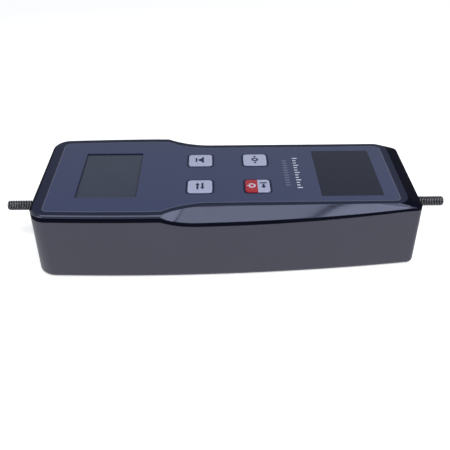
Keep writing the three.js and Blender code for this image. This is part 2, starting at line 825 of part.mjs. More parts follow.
// Load cell: a block cut by two slots from opposite sides and a double eye between them
function loadCell() {
  const halfThickness = cellThickness / 2;
  const low = studHeight - halfThickness;
  const high = studHeight + halfThickness;
  const halfWidth = cellWidth / 2;
  let body = block(cellStartX, cellEndX, -halfWidth, halfWidth, low, high);
  const cutLow = low - overrun;
  const cutHigh = high + overrun;
  const firstSlot = cellStartX + cellSlotFromEnd;
  const secondSlot = cellEndX - cellSlotFromEnd - cellSlotWidth;
  body = body.subtract(block(firstSlot, firstSlot + cellSlotWidth, halfWidth - cellSlotReach,
    halfWidth + overrun, cutLow, cutHigh));
  body = body.subtract(block(secondSlot, secondSlot + cellSlotWidth, -halfWidth - overrun,
    cellSlotReach - halfWidth, cutLow, cutHigh));
  const eyeY = cellEyeSpacing / 2;
  body = body.subtract(barAlongZ(cellCenterX, -eyeY, cellEyeRadius, cutLow, cutHigh));
  body = body.subtract(barAlongZ(cellCenterX, eyeY, cellEyeRadius, cutLow, cutHigh));
  body = body.subtract(block(cellCenterX - gaugeHeight / 2, cellCenterX + gaugeHeight / 2, -eyeY, eyeY,
    cutLow, cutHigh));
  const bore = studRadius + runningGap;
  body = body.subtract(barAlongX(0, studHeight, bore, cellStartX - overrun, cellStartX + cellStudDepth));
  return body.subtract(barAlongX(0, studHeight, bore, cellEndX - cellStudDepth, cellEndX + overrun));
}

function cellCover(side) {
  const face = studHeight + (side * cellThickness) / 2 + side * solderGap;
  const halfLength = cellEyeRadius + cellCoverOverlap;
  const halfWidth = cellEyeSpacing / 2 + cellEyeRadius + cellCoverOverlap;
  const other = face + side * cellCoverThickness;
  return block(cellCenterX - halfLength, cellCenterX + halfLength, -halfWidth, halfWidth,
    Math.min(face, other), Math.max(face, other));
}

// Strain gauge on the inner wall of each eye
function strainGauge(side) {
  const outer = cellEyeSpacing / 2 + cellEyeRadius - cellEyeRadius / 4;
  const inner = outer - gaugeThickness;
  return block(cellCenterX - gaugeHeight / 2, cellCenterX + gaugeHeight / 2,
    Math.min(side * inner, side * outer), Math.max(side * inner, side * outer),
    studHeight - gaugeLength / 2, studHeight + gaugeLength / 2);
}

// A threaded stretch along +Z from zero: the ridge climbs one pitch a turn
function threadSurface(length) {
  const rows = 2 * Math.ceil(length / studPitch) + 2 * threadOverrun;
  const positions = [];
  const faces = [];
  const start = -threadOverrun * studPitch;
  const vertex = (row, side) => row * threadSides + side;
  for (let row = 0; row <= rows; row += 1) {
    const radius = row % 2 === 0 ? studRadius - studRootDepth : studRadius;
    for (let side = 0; side < threadSides; side += 1) {
      const turn = side / threadSides;
      const angle = turn * 2 * Math.PI;
      positions.push(radius * Math.cos(angle), radius * Math.sin(angle),
        start + (row / 2 + turn) * studPitch);
    }
  }
  for (let row = 0; row < rows; row += 1) {
    for (let side = 0; side < threadSides; side += 1) {
      const wraps = side + 1 === threadSides;
      const a = vertex(row, side);
      const b = vertex(wraps ? row + 2 : row, (side + 1) % threadSides);
      const c = vertex(wraps ? row + 3 : row + 1, (side + 1) % threadSides);
      const d = vertex(row + 1, side);
      if (!wraps || row + 3 <= rows) {
        faces.push(a, b, c, a, c, d);
      }
    }
  }
  // the two ragged ends are closed to points on the axis
  const bottomPoint = vertex(rows + 1, 0);
  positions.push(0, 0, start);
  const topPoint = bottomPoint + 1;
  positions.push(0, 0, start + (rows / 2) * studPitch);
  for (let side = 0; side + 1 < threadSides; side += 1) {
    faces.push(bottomPoint, vertex(0, side + 1), vertex(0, side));
    faces.push(topPoint, vertex(rows, side), vertex(rows, side + 1));
  }
  const lastSide = threadSides - 1;
  faces.push(bottomPoint, vertex(2, 0), vertex(0, lastSide));
  faces.push(bottomPoint, vertex(1, 0), vertex(2, 0), bottomPoint, vertex(0, 0), vertex(1, 0));
  faces.push(topPoint, vertex(rows - 2, lastSide), vertex(rows, 0));
  faces.push(topPoint, vertex(rows - 1, lastSide), vertex(rows - 2, lastSide));
  faces.push(topPoint, vertex(rows, lastSide), vertex(rows - 1, lastSide));
  const geometry = new THREE.BufferGeometry();
  geometry.setAttribute('position', new THREE.BufferAttribute(new Float32Array(positions), 3));
  geometry.setIndex(faces);
  return geometry;
}

// A stud along X: plain inside the casing, threaded where it stands out, with a chamfered tip
function stud(direction, innerX) {
  const reach = studTip - direction * innerX;
  const threadStart = halfBody - studThreadInside - direction * innerX;
  const geometry = threadSurface(reach - threadStart);
  geometry.translate(0, 0, threadStart);
  const outer = studRadius + studChamfer;
  const outline = [[0, 0], [outer, 0], [outer, reach - 2 * studChamfer],
    [studRadius - studChamfer, reach], [0, reach]].map(([r, z]) => new THREE.Vector2(r, z));
  const envelopeGeometry = new THREE.LatheGeometry(outline, threadSides);
  envelopeGeometry.rotateX(Math.PI / 2);
  const plainGeometry = new THREE.CylinderGeometry(studRadius, studRadius, threadStart, threadSides);
  plainGeometry.rotateX(Math.PI / 2);
  plainGeometry.translate(0, 0, threadStart / 2);
  const body = solid(geometry).intersect(solid(envelopeGeometry)).add(solid(plainGeometry));
  const placed = geometryOf(body);
  placed.rotateY((direction * Math.PI) / 2);
  placed.translate(innerX, 0, studHeight);
  return placed;
}

function nut(x0) {
  const cornerRadius = nutAcrossFlats / Math.sqrt(3);
  const body = barAlongX(0, studHeight, cornerRadius, x0, x0 + nutThickness, nutSides);
  return body.subtract(barAlongX(0, studHeight, studRadius + runningGap, x0 - overrun,
    x0 + nutThickness + overrun, screwSegments));
}

// Bracket that ties the fixed stud to the rear shell
function footBracket() {
  let body = block(bracketStartX, bracketEndX, -bracketHalfWidth, bracketHalfWidth,
    bracketBottom, bracketTop);
  [-1, 1].forEach((side) => {
    const inner = bracketHalfWidth - bracketFootWidth;
    const low = Math.min(side * inner, side * bracketHalfWidth);
    const high = Math.max(side * inner, side * bracketHalfWidth);
    body = body.add(block(bracketStartX - bracketFootLength, bracketEndX, low, high,
      bracketBottom, bracketBottom + bracketFootThickness));
    body = body.subtract(barAlongZ(bracketFootX, side * bracketFootY, screwShankRadius + screwGap,
      bracketBottom - overrun, bracketBottom + bracketFootThickness + overrun, screwSegments));
  });
  return body.subtract(barAlongX(0, studHeight, studRadius + runningGap, bracketStartX - overrun,
    bracketEndX + overrun));
}

// Flanged bush in an end wall
function bush(direction) {
  const wallX = halfBody - draftInset;
  const innerFace = halfBody - wall - draftInset - seatGap;
  const profile = [
    [studRadius + runningGap, innerFace - bushFlangeThickness],
    [bushFlangeRadius, innerFace - bushFlangeThickness],
    [bushFlangeRadius, innerFace],
    [bushRadius, innerFace],
    [bushRadius, wallX + bushStandOut],
    [studRadius + runningGap, wallX + bushStandOut],
    [studRadius + runningGap, innerFace - bushFlangeThickness],
  ].map(([r, z]) => new THREE.Vector2(r, z));
  const geometry = new THREE.LatheGeometry(profile, roundSegments);
  geometry.rotateX(Math.PI / 2);
  geometry.rotateY((direction * Math.PI) / 2);
  geometry.translate(0, 0, studHeight);
  return geometry;
}

// Battery tray, open towards the door
function batteryTray() {
  const half = trayInnerHalfWidth + trayWall;
  const outer = block(trayStartX, trayEndX, -half, half, trayBottom, trayCeiling + trayRoof);
  return outer.subtract(block(trayStartX + trayWall, trayEndX - trayWall, -trayInnerHalfWidth,
    trayInnerHalfWidth, trayBottom - overrun, trayCeiling));
}

const batteryPitch = 2 * batteryRadius + batterySpacing;
const batteryY = (index) => (index - (batteryCount - 1) / 2) * batteryPitch;
const springFace = trayStartX + trayWall + seatGap + contactThickness + springBump;
const batteryStartX = springFace + seatGap;

// Cell with its positive nub, turned end for end from its neighbour
function battery(index) {
  const profile = [[0, 0], [batteryRadius, 0], [batteryRadius, batteryLength - batteryNubLength],
    [batteryNubRadius, batteryLength - batteryNubLength], [batteryNubRadius, batteryLength],
    [0, batteryLength]].map(([r, z]) => new THREE.Vector2(r, z));
  const geometry = new THREE.LatheGeometry(profile, roundSegments);
  geometry.rotateX(Math.PI / 2);
  const turned = index % 2 === 1;
  geometry.rotateY(turned ? -Math.PI / 2 : Math.PI / 2);
  geometry.translate(batteryStartX + (turned ? batteryLength : 0), batteryY(index), batteryAxisZ);
  return geometry;
}

// Contact strip across one or two cells, with a raised face at each
function batteryContact(end, firstCell, lastCell) {
  const atDisplay = end === 'display';
  const bump = atDisplay ? springBump : plainBump;
  const plateX = atDisplay
    ? trayStartX + trayWall + seatGap
    : trayEndX - trayWall - seatGap - contactThickness;
  const reach = batteryRadius - contactEdgeGap;
  const low = batteryY(firstCell) - reach;
  const high = batteryY(lastCell) + reach;
  const half = contactHeight / 2;
  let body = block(plateX, plateX + contactThickness, low, high, batteryAxisZ - half, batteryAxisZ + half);
  for (let cell = firstCell; cell <= lastCell; cell += 1) {
    const from = atDisplay ? plateX : plateX - bump;
    const to = atDisplay ? plateX + contactThickness + bump : plateX + contactThickness;
    body = body.add(barAlongX(batteryY(cell), batteryAxisZ, contactBumpRadius, from, to, screwSegments));
  }
  return body;
}

// Sliding door in the back, cut to the casing's rounded foot end
function batteryDoor() {
  const end = halfBody + overrun;
  const start = doorStartX + seatGap;
  const flangeBottom = doorLipThickness + seatGap;
  const plate = block(start, end, -doorHalfWidth, doorHalfWidth, doorLift, doorTop);
  const flange = block(start, end, -doorFlangeHalfWidth, doorFlangeHalfWidth, flangeBottom, doorTop);
  let body = plate.add(flange).intersect(loft(outerRearRings()));
  for (let i = 0; i < doorRibCount; i += 1) {
    const x = halfBody - doorRibFromEnd - i * doorRibPitch;
    body = body.add(block(x - doorRibWidth, x, -doorRibLength / 2, doorRibLength / 2,
      doorLift - doorRibHeight, doorTop));
  }
  return body;
}

// A lead along a smooth route
function lead(places) {
  const curve = new THREE.CatmullRomCurve3(places.map(([x, y, z]) => new THREE.Vector3(x, y, z)));
  const section = new THREE.Shape();
  for (let i = 0; i < leadSides; i += 1) {
    const angle = (i / leadSides) * 2 * Math.PI;
    const point = [leadRadius * Math.cos(angle), leadRadius * Math.sin(angle)];
    if (i === 0) {
      section.moveTo(...point);
    } else {
      section.lineTo(...point);
    }
  }
  section.closePath();
  return new THREE.ExtrudeGeometry(section, { steps: leadSteps, bevelEnabled: false, extrudePath: curve });
}

const connectorBottom = chipTop - connectorHeight;
const sensorConnectorY = boardHalfWidth - connectorFromEdge;
const batteryConnectorX = boardEndX - connectorFromEdge;
const batteryConnectorY = keyRowY;
const sensorLeadStart = cellWidth / 2 + seatGap;
const sensorLeadBend = (sensorConnectorY - sensorLeadStart) / 2;
const sensorLeadPlaces = [
  [cellCenterX, sensorLeadStart, studHeight],
  [cellCenterX, sensorLeadStart + sensorLeadBend, studHeight],
  [cellCenterX, sensorConnectorY, studHeight + sensorLeadBend],
  [cellCenterX, sensorConnectorY, connectorBottom - seatGap],
];
const trayTop = trayCeiling + trayRoof;
const batteryLeadRise = (connectorBottom - trayTop) / 4;
const batteryLeadPlaces = [
  [trayStartX + 2 * trayWall, batteryConnectorY, trayTop + seatGap],
  [trayStartX + 2 * trayWall, batteryConnectorY, trayTop + batteryLeadRise],
  [batteryConnectorX, batteryConnectorY, connectorBottom - batteryLeadRise],
  [batteryConnectorX, batteryConnectorY, connectorBottom - seatGap],
];

// Assembly
addPart('rear_shell', geometryOf(rearShell()), satinGrey);
addPart('front_shell', geometryOf(frontShell()), glossyBlack);
addPart('front_label', geometryOf(frontLabel()), slateLabel);
addPart('display_window', geometryOf(windowPlate()), windowTint);
addPart('blank_plate', geometryOf(blankPlate()), darkPlate);
keyPlaces.forEach(([name, x, y, finish], index) => {
  addPart(name, geometryOf(keyCap(x, y)), finish);
  addPart(`tact_switch_${index + 1}`, geometryOf(tactileSwitch(x, y)), chipBlack);
});
addPart('main_board', geometryOf(mainBoard()), boardGreen);
addPart('display_glass', geometryOf(displayGlass()), windowTint);
addPart('display_frame', geometryOf(displayFrame()), chipBlack);
addPart('contact_strip_near', geometryOf(contactStrip(-1)), rubberGrey);
addPart('contact_strip_far', geometryOf(contactStrip(1)), rubberGrey);
addPart('microcontroller', geometryOf(chip(windowCenterX, 0, controllerSide, controllerSide)), chipBlack);
addPart('converter_chip', geometryOf(chip(firstKeyColumnX, keyRowY, converterLength, converterWidth)),
  chipBlack);
addPart('voltage_regulator', geometryOf(chip(secondKeyColumnX, 0, regulatorSide, regulatorSide)), chipBlack);
addPart('crystal', geometryOf(crystal()), brightSteel);
addPart('capacitor_1', geometryOf(capacitor(0)), aluminium);
addPart('capacitor_2', geometryOf(capacitor(1)), aluminium);
addPart('sensor_connector', geometryOf(connector(cellCenterX, sensorConnectorY)), connectorWhite);
addPart('battery_connector', geometryOf(connector(batteryConnectorX, batteryConnectorY)), connectorWhite);
addPart('load_cell', geometryOf(loadCell()), aluminium);
addPart('cell_cover_top', geometryOf(cellCover(1)), aluminium);
addPart('cell_cover_bottom', geometryOf(cellCover(-1)), aluminium);
addPart('strain_gauge_near', geometryOf(strainGauge(-1)), gaugeFoil);
addPart('strain_gauge_far', geometryOf(strainGauge(1)), gaugeFoil);
const studSeat = cellStudDepth - seatGap - elasticTravel;
addPart('measuring_stud', stud(-1, cellStartX + studSeat), darkSteel);
addPart('measuring_nut', geometryOf(nut(cellStartX - nutThickness - seatGap - elasticTravel)), brightSteel);
addPart('fixed_stud', stud(1, cellEndX - studSeat), darkSteel);
addPart('fixed_nut', geometryOf(nut(cellEndX + seatGap)), brightSteel);
addPart('bracket_nut', geometryOf(nut(bracketStartX - nutThickness - seatGap)), brightSteel);
addPart('foot_bracket', geometryOf(footBracket()), brightSteel);
addPart('guide_bush', bush(-1), brass);
addPart('foot_bush', bush(1), brass);
[-1, 1].forEach((side, index) => {
  const seat = bracketBottom + bracketFootThickness + solderGap;
  const body = screwSolid(0, 0, -screwHeadHeight, bracketBossTop - floorThickness);
  const mesh = addPart(`bracket_screw_${index + 1}`, geometryOf(body), brightSteel);
  mesh.rotation.x = Math.PI;
  mesh.position.set(bracketFootX, side * bracketFootY, seat);
});
addPart('battery_tray', geometryOf(batteryTray()), chipBlack);
for (let i = 0; i < batteryCount; i += 1) {
  addPart(`battery_${i + 1}`, battery(i), batterySleeve);
}
addPart('battery_contact_1', geometryOf(batteryContact('display', 0, 0)), contactMetal);
addPart('battery_contact_2', geometryOf(batteryContact('display', 1, 2)), contactMetal);
addPart('battery_contact_3', geometryOf(batteryContact('foot', 0, 1)), contactMetal);
addPart('battery_contact_4', geometryOf(batteryContact('foot', 2, 2)), contactMetal);
addPart('battery_door', geometryOf(batteryDoor()), satinGrey);
caseScrewPlaces.forEach(([x, y], index) => {
  const body = screwSolid(x, y, counterboreDepth - screwHeadHeight - solderGap, caseScrewLength);
  addPart(`case_screw_${index + 1}`, geometryOf(body), brightSteel);
});
boardScrewPlaces.forEach(([x, y], index) => {
  const body = screwSolid(x, y, boardBottom - screwHeadHeight - solderGap, boardScrewLength);
  addPart(`board_screw_${index + 1}`, geometryOf(body), brightSteel);
});
addPart('sensor_lead', lead(sensorLeadPlaces), leadJacket);
addPart('battery_lead', lead(batteryLeadPlaces), leadJacket);

export default group;
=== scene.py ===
"""Looks, light and camera of the digital force gauge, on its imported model."""
import math

import bmesh
import bpy
from mathutils import Matrix, Vector


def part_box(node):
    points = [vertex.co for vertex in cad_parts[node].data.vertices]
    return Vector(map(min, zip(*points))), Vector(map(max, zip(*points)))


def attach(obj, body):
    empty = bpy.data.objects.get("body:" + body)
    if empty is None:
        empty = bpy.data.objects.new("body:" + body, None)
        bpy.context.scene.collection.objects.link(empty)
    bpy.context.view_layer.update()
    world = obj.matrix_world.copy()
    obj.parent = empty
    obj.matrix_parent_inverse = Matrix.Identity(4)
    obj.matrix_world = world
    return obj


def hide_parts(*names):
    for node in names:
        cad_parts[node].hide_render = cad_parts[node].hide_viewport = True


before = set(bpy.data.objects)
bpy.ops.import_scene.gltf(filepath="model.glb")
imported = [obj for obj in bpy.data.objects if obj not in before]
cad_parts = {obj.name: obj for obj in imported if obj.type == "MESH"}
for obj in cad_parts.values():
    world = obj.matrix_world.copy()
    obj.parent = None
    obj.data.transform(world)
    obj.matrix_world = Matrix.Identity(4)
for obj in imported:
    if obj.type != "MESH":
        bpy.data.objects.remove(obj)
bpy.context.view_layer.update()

MM = 0.001

# Casing, in millimetres
HALF_LENGTH = 107.6
HALF_WIDTH = 44.46
TOP = 42.0
WALL = 2.4
FLOOR = 2.5
CEILING = 39.2
PARTING_GAP = 0.2
DRAFT = 0.2
BOTTOM_ROUNDING = 3.0
DISPLAY_RADIUS = 10
FOOT_RADIUS = 3.6
LEAST_RADIUS = 1.5
GAP = 0.3

# Each side is one long arc; the flat top sweeps in from the corner of the waist
SIDE_RADIUS = 1163.0
WIDEST_X = -44.6
SHOULDER = 1.05
WAIST_START = -36.15
WAIST_END = -7.65
DIP_END = -14.65
RISE_END = 97.3
PLATEAU_AT_GRIP = 34.5
PLATEAU_AT_CORNER = 43.4
CORNER_SOFTNESS = 0.5
FLANK_FLATNESS = 0.97
FLANK_SETTLE = 5.0
SLOPE_OUT = 0.6
SLOPE_DOWN = 0.33
SLOPE_MIDDLE = 0.62

# How far two lines lie below the top at the display, at the waist and at the foot
PARTING_DROPS = (4.15, 7.45, 4.65)
LIP_DROPS = (1.4, 5.2, 3.05)

# Flat top and label: how far in from the two ends, display first, and from the sides there
PLATEAU_ENDS = (1.6, 7.6)
PLATEAU_RADIUS = 8
LABEL_ENDS = (6.75, 11.45)
LABEL_SIDES = (3.3, 2.85)
LABEL_RADIUS = 4
LABEL_POCKET = 0.7

# Posts, bosses and the holes in them
POST_RADIUS = 3.8
POST_TOP = 30.0
BOSS_RADIUS = 3.0
BOSS_TOP = 8.7
FRONT_BOSS_RADIUS = 2.9
BOARD_TOP = 33.7
ROOT = 1.2
EASING = 0.3
COUNTERBORE_RADIUS = 3.0
COUNTERBORE_DEPTH = 18.0
SCREW_HOLE_RADIUS = 1.65
OVERRUN = 2.0
CASE_SCREWS = [f"case_screw_{i}" for i in range(1, 5)]
BOARD_SCREWS = [f"board_screw_{i}" for i in range(1, 5)]
BRACKET_SCREWS = ["bracket_screw_1", "bracket_screw_2"]

# Heights between which the front is cut through
BELOW_FRONT = 36
BELOW_LABEL = 40
ABOVE_FRONT = 44

# Keys and the bodies that they move with
KEYS = {"key_peak": "peak_key", "key_unit": "unit_key", "key_zero": "zero_key", "key_power": "power_key"}
KEY_LENGTH = 14.0
KEY_FLANGE_LENGTH = 16.4
KEY_FLANGE = 0.9

# Studs with a 1 mm thread, their bushes and the battery door
STUD_HEIGHT = 21.0
STUD_RADIUS = 3.0
TIP_RADIUS = 2.3
THREAD_DEPTH = 0.55
THREAD_RUN_IN = 1.4
THREAD_FADE = 0.8
BUSH_RADIUS = 5.5
BUSH_FLANGE_RADIUS = 7.5
DOOR_FLANGE = 1.2
DOOR_STEP = 1.1
DOOR_END = 115

# Signs, ticks and dashes: how far they are sunk in, and how thick they are
SUNK = 0.01
SIGN_THICKNESS = 0.045
PRINT_THICKNESS = 0.035
PRINT_PITCH = 2.8

# Steps round the plan outline and across one section
END_STEPS = 5
DISPLAY_CORNER_STEPS = 16
LEAD_STEPS = 8
WAIST_STEPS = 44
GRIP_STEPS = 30
FOOT_CORNER_STEPS = 14
BOTTOM_STEPS = 8
LIP_STEPS = 4
FLANK_STEPS = 11
EDGE_STEPS = 5


# Plan outlines

def mix(a, b, share):
    return a + (b - a) * share


def smoothstep(start, end, value):
    t = min(1.0, max(0.0, (value - start) / (end - start)))
    return t * t * (3 - 2 * t)


def waist_change(x):
    """0 at the display, 1 at the grip."""
    return smoothstep(WAIST_START, WAIST_END, x)


def casing_half_width(x):
    return HALF_WIDTH - (x - WIDEST_X) ** 2 / (2 * SIDE_RADIUS)


def side_slope(x):
    return (WIDEST_X - x) / SIDE_RADIUS


def bend(start, end, value, bend_share, limit=1.0):
    """A curve from 0 at rest to 1, which turns steeper towards its end."""
    t = min(limit, max(0.0, (value - start) / (end - start)))
    return t * t * (1 + bend_share * (t - 1))


def plateau_half_width(x):
    """Half the width of the flat top: along the side, then sweeping in from the corner of the waist."""
    along_side = casing_half_width(x) - SHOULDER
    sweep = mix(PLATEAU_AT_GRIP, PLATEAU_AT_CORNER, bend(WAIST_END, WAIST_START, x, 0.25, 2.0))
    if x > WAIST_END:
        return sweep
    return (along_side + sweep - math.hypot(along_side - sweep, CORNER_SOFTNESS)) / 2


def edge_height(x, at_display, at_waist, at_foot):
    dip = mix(at_waist, at_display, bend(DIP_END, WAIST_START, x, 0.5))
    return TOP - mix(dip, at_foot, bend(WAIST_END, RISE_END, x, 0.0))


def parting_height(x):
    return edge_height(x, *PARTING_DROPS)


def front_edge_height(x):
    return parting_height(x) + PARTING_GAP / 2


def lip_top_height(x):
    return edge_height(x, *LIP_DROPS)


def level(height):
    return lambda x: height


def on_circle(centre, radius, angle):
    return centre[0] + radius * math.cos(angle), centre[1] + radius * math.sin(angle)


def corner_arc(x, radius, slope, half_width):
    """Centre of a rounded corner, and how far it turns to meet a side of this slope."""
    return (x, half_width(x) - radius * math.hypot(1, slope)), math.pi / 2 - math.atan(slope)


def plan_ring(height, display_x, foot_x, half_width, display_radius, foot_radius, foot_slope=0.0):
    """A plan outline: half of it, from the display end to the foot end, and the mirror image of that."""
    arc_x = display_x + display_radius
    display_arc, display_turn = corner_arc(arc_x, display_radius, side_slope(arc_x), half_width)
    foot_arc, foot_turn = corner_arc(foot_x - foot_radius, foot_radius, foot_slope, half_width)
    side_start = arc_x - display_radius * math.cos(display_turn)
    side_end = foot_arc[0] + foot_radius * math.cos(foot_turn)
    half = [(display_x, display_arc[1] * i / END_STEPS) for i in range(END_STEPS)]
    for i in range(DISPLAY_CORNER_STEPS):
        angle = math.pi - display_turn * i / DISPLAY_CORNER_STEPS
        half.append(on_circle(display_arc, display_radius, angle))
    for start, end, steps in ((side_start, WAIST_START, LEAD_STEPS),
                              (WAIST_START, WAIST_END, WAIST_STEPS),
                              (WAIST_END, side_end, GRIP_STEPS)):
        for i in range(steps):
            x = mix(start, end, i / steps)
            half.append((x, half_width(x)))
    for i in range(FOOT_CORNER_STEPS):
        half.append(on_circle(foot_arc, foot_radius, foot_turn * (1 - i / FOOT_CORNER_STEPS)))
    half += [(foot_x, foot_arc[1] * (1 - i / END_STEPS)) for i in range(END_STEPS + 1)]
    near = [Vector((x, -y, height(x))) for x, y in half]
    far = [Vector((x, y, height(x))) for x, y in reversed(half[1:-1])]
    return near + far


def casing_ring(inset, height, radius_inset=None):
    """The casing's outline, set in from its sides. Its corners can follow another inset."""
    rounding = inset if radius_inset is None else radius_inset
    return plan_ring(height, -HALF_LENGTH + inset, HALF_LENGTH - inset,
                     lambda x: casing_half_width(x) - inset,
                     max(LEAST_RADIUS, DISPLAY_RADIUS - rounding), max(LEAST_RADIUS, FOOT_RADIUS - rounding),
                     -side_slope(HALF_LENGTH - FOOT_RADIUS))


def label_half_width(x):
    return plateau_half_width(x) - mix(*LABEL_SIDES, waist_change(x))


def ring_on_top(inset, height, ends, half_width, radius):
    """A ring on the flat top, set in from its outline on all sides."""
    return plan_ring(height, -HALF_LENGTH + ends[0] + inset, HALF_LENGTH - ends[1] - inset,
                     lambda x: half_width(x) - inset, radius - inset, radius - inset)


def plateau_ring(inset, height):
    return ring_on_top(inset, height, PLATEAU_ENDS, plateau_half_width, PLATEAU_RADIUS)


def label_ring(inset, height):
    return ring_on_top(inset, height, LABEL_ENDS, label_half_width, LABEL_RADIUS)


def fillet(before, corner, after, steps):
    """Points that round a corner between two places."""
    shares = [i / steps for i in range(steps + 1)]
    return [before * (1 - t) ** 2 + corner * 2 * t * (1 - t) + after * t * t for t in shares]


def round_ring(centre, radius, position, axis, count):
    """A circle of points about an axis, at a position along it."""
    points = [on_circle(centre, radius, 2 * math.pi * i / count) for i in range(count)]
    return [Vector((position, *point) if axis == "X" else (*point, position)) for point in points]


def rounded_rectangle(centre, length, width, radius, corner_steps=6):
    x0, y0 = centre
    points = []
    for sx, sy, start in ((1, 1, 0), (-1, 1, 90), (-1, -1, 180), (1, -1, 270)):
        cx = x0 + sx * (length / 2 - radius)
        cy = y0 + sy * (width / 2 - radius)
        for i in range(corner_steps + 1):
            points.append(on_circle((cx, cy), radius, math.radians(start + 90 * i / corner_steps)))
    return points


def rectangle(x0, x1, half_width):
    return [(x0, -half_width), (x1, -half_width), (x1, half_width), (x0, half_width)]


def box_of(node):
    """Lowest and highest corner of a CAD node, in millimetres."""
    low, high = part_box(node)
    return Vector(low) / MM, Vector(high) / MM


def middle_of(node):
    low, high = box_of(node)
    return (low + high) / 2


def form_of(node, inset, radius, corner_steps=6):
    """Rounded rectangle round a CAD node, set in from its sides."""
    low, high = box_of(node)
    size = high - low
    return rounded_rectangle(middle_of(node).xy, size.x - 2 * inset, size.y - 2 * inset, radius, corner_steps)


def key_form(node, length, radius, narrowing=0.7, corner_steps=6):
    """Rounded rectangle about the middle of a key, a little narrower than it is long."""
    return rounded_rectangle(middle_of(node).xy, length, length - narrowing, radius, corner_steps)


# Modelling tools

def pick(*pieces):
    """Selects these pieces alone and works on the first."""
    bpy.ops.object.select_all(action="DESELECT")
    for piece in pieces:
        piece.select_set(True)
    if pieces:
        bpy.context.view_layer.objects.active = pieces[0]


def drawn(name, rings, hollow=False):
    """A closed form: a circle put on the first ring, then extruded from ring to ring. Millimetres.

    Its two ends get caps, or are bridged where the form has a hole right through."""
    pick()
    count = len(rings[0])
    bpy.ops.mesh.primitive_circle_add(vertices=count, radius=1)
    piece = bpy.context.object
    piece.name = piece.data.name = name
    bpy.ops.object.mode_set(mode="EDIT")
    bpy.ops.mesh.select_mode(type="EDGE")
    bpy.ops.mesh.select_all(action="SELECT")
    mesh = bmesh.from_edit_mesh(piece.data)
    mesh.verts.ensure_lookup_table()
    order = list(range(count))
    for index, place in zip(order, rings[0]):
        mesh.verts[index].co = place * MM
    for ring in rings[1:]:
        bpy.ops.mesh.extrude_edges_indiv()
        mesh = bmesh.from_edit_mesh(piece.data)
        mesh.verts.index_update()
        mesh.verts.ensure_lookup_table()
        follows = {}
        for vertex in mesh.verts[-count:]:
            for edge in vertex.link_edges:
                follows[edge.other_vert(vertex).index] = vertex
        new_order = [follows[index] for index in order]
        for vertex, place in zip(new_order, ring):
            vertex.co = place * MM
        order = [vertex.index for vertex in new_order]
    ends = [list(range(count)), order]
    if hollow:
        select_rings(piece, ends)
        bpy.ops.mesh.bridge_edge_loops()
    else:
        for end in ends:
            select_rings(piece, [end])
            bpy.ops.mesh.edge_face_add()
    bpy.ops.mesh.select_all(action="SELECT")
    bpy.ops.mesh.normals_make_consistent(inside=False)
    bpy.ops.object.mode_set(mode="OBJECT")
    return piece


def select_rings(piece, rings):
    """Selects the edges of closed rings, each a list of its points' numbers."""
    bpy.ops.mesh.select_all(action="DESELECT")
    mesh = bmesh.from_edit_mesh(piece.data)
    mesh.verts.ensure_lookup_table()
    for ring in rings:
        for a, b in zip(ring, ring[1:] + ring[:1]):
            mesh.edges.get((mesh.verts[a], mesh.verts[b])).select_set(True)
    bmesh.update_edit_mesh(piece.data)


def turned(name, centre, profile, axis="X", count=48, hollow=False):
    """A turned form from (radius, position) steps."""
    return drawn(name, [round_ring(centre, radius, position, axis, count) for radius, position in profile],
                 hollow)


def upright(name, nodes, profile, count=32):
    """The same turned form upright at each of these CAD nodes."""
    return [turned(name, middle_of(node).xy, profile, "Z", count) for node in nodes]


def stepped(name, steps, hollow=False):
    """A form from (outline, height) steps."""
    return drawn(name, [[Vector((x, y, height)) for x, y in outline] for outline, height in steps], hollow)


def flat_form(name, outline, low, high):
    """A plate of any outline between two heights."""
    return stepped(name, [(outline, low), (outline, high)])


def apply_modifier(piece, modifier):
    pick(piece)
    bpy.ops.object.modifier_apply(modifier=modifier.name)


def combine(piece, other, operation):
    """Cuts the other form out of the piece, joins it on, or keeps only what both hold."""
    modifier = piece.modifiers.new(operation.lower(), "BOOLEAN")
    modifier.object = other
    modifier.operation = operation
    modifier.solver = "EXACT"
    apply_modifier(piece, modifier)
    bpy.data.objects.remove(other)


def joined(pieces, name):
    """Several meshes as one object."""
    pick(*pieces)
    if len(pieces) > 1:
        bpy.ops.object.join()
    pieces[0].name = pieces[0].data.name = name
    return pieces[0]


def soften(piece, width, angle):
    """Small roundings along the edges that are sharper than this angle, in millimetres."""
    modifier = piece.modifiers.new("roundings", "BEVEL")
    modifier.width = width * MM
    modifier.segments = 2
    modifier.limit_method = "ANGLE"
    modifier.angle_limit = math.radians(angle)
    apply_modifier(piece, modifier)


def smooth(piece, angle=30):
    """Smooth shading, but not on level faces."""
    pick(piece)
    bpy.ops.object.shade_smooth_by_angle(angle=math.radians(angle))
    for face in piece.data.polygons:
        if abs(face.normal.z) > 0.9999:
            face.use_smooth = False
    return piece


def put_materials(piece, materials):
    """Gives a piece its materials, and leaves each face the number of its own."""
    numbers = [face.material_index for face in piece.data.polygons]
    piece.data.materials.clear()
    for material in materials:
        piece.data.materials.append(material)
    for face, number in zip(piece.data.polygons, numbers):
        face.material_index = number


def finish_piece(piece, node, body, materials):
    """Gives a piece its materials and its body, and the place of a CAD node if it stands for one."""
    put_materials(piece, materials)
    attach(piece, body)
    if node:
        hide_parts(node)


# Finishes

def maths(operation, reflected=False):
    """A method for Value that adds a Math node. Reflected, the value itself stands second."""
    def method(value, *others):
        values = (*others, value) if reflected else (value, *others)
        return value.tree.node("ShaderNodeMath", {"operation": operation}, dict(enumerate(values)))
    return method


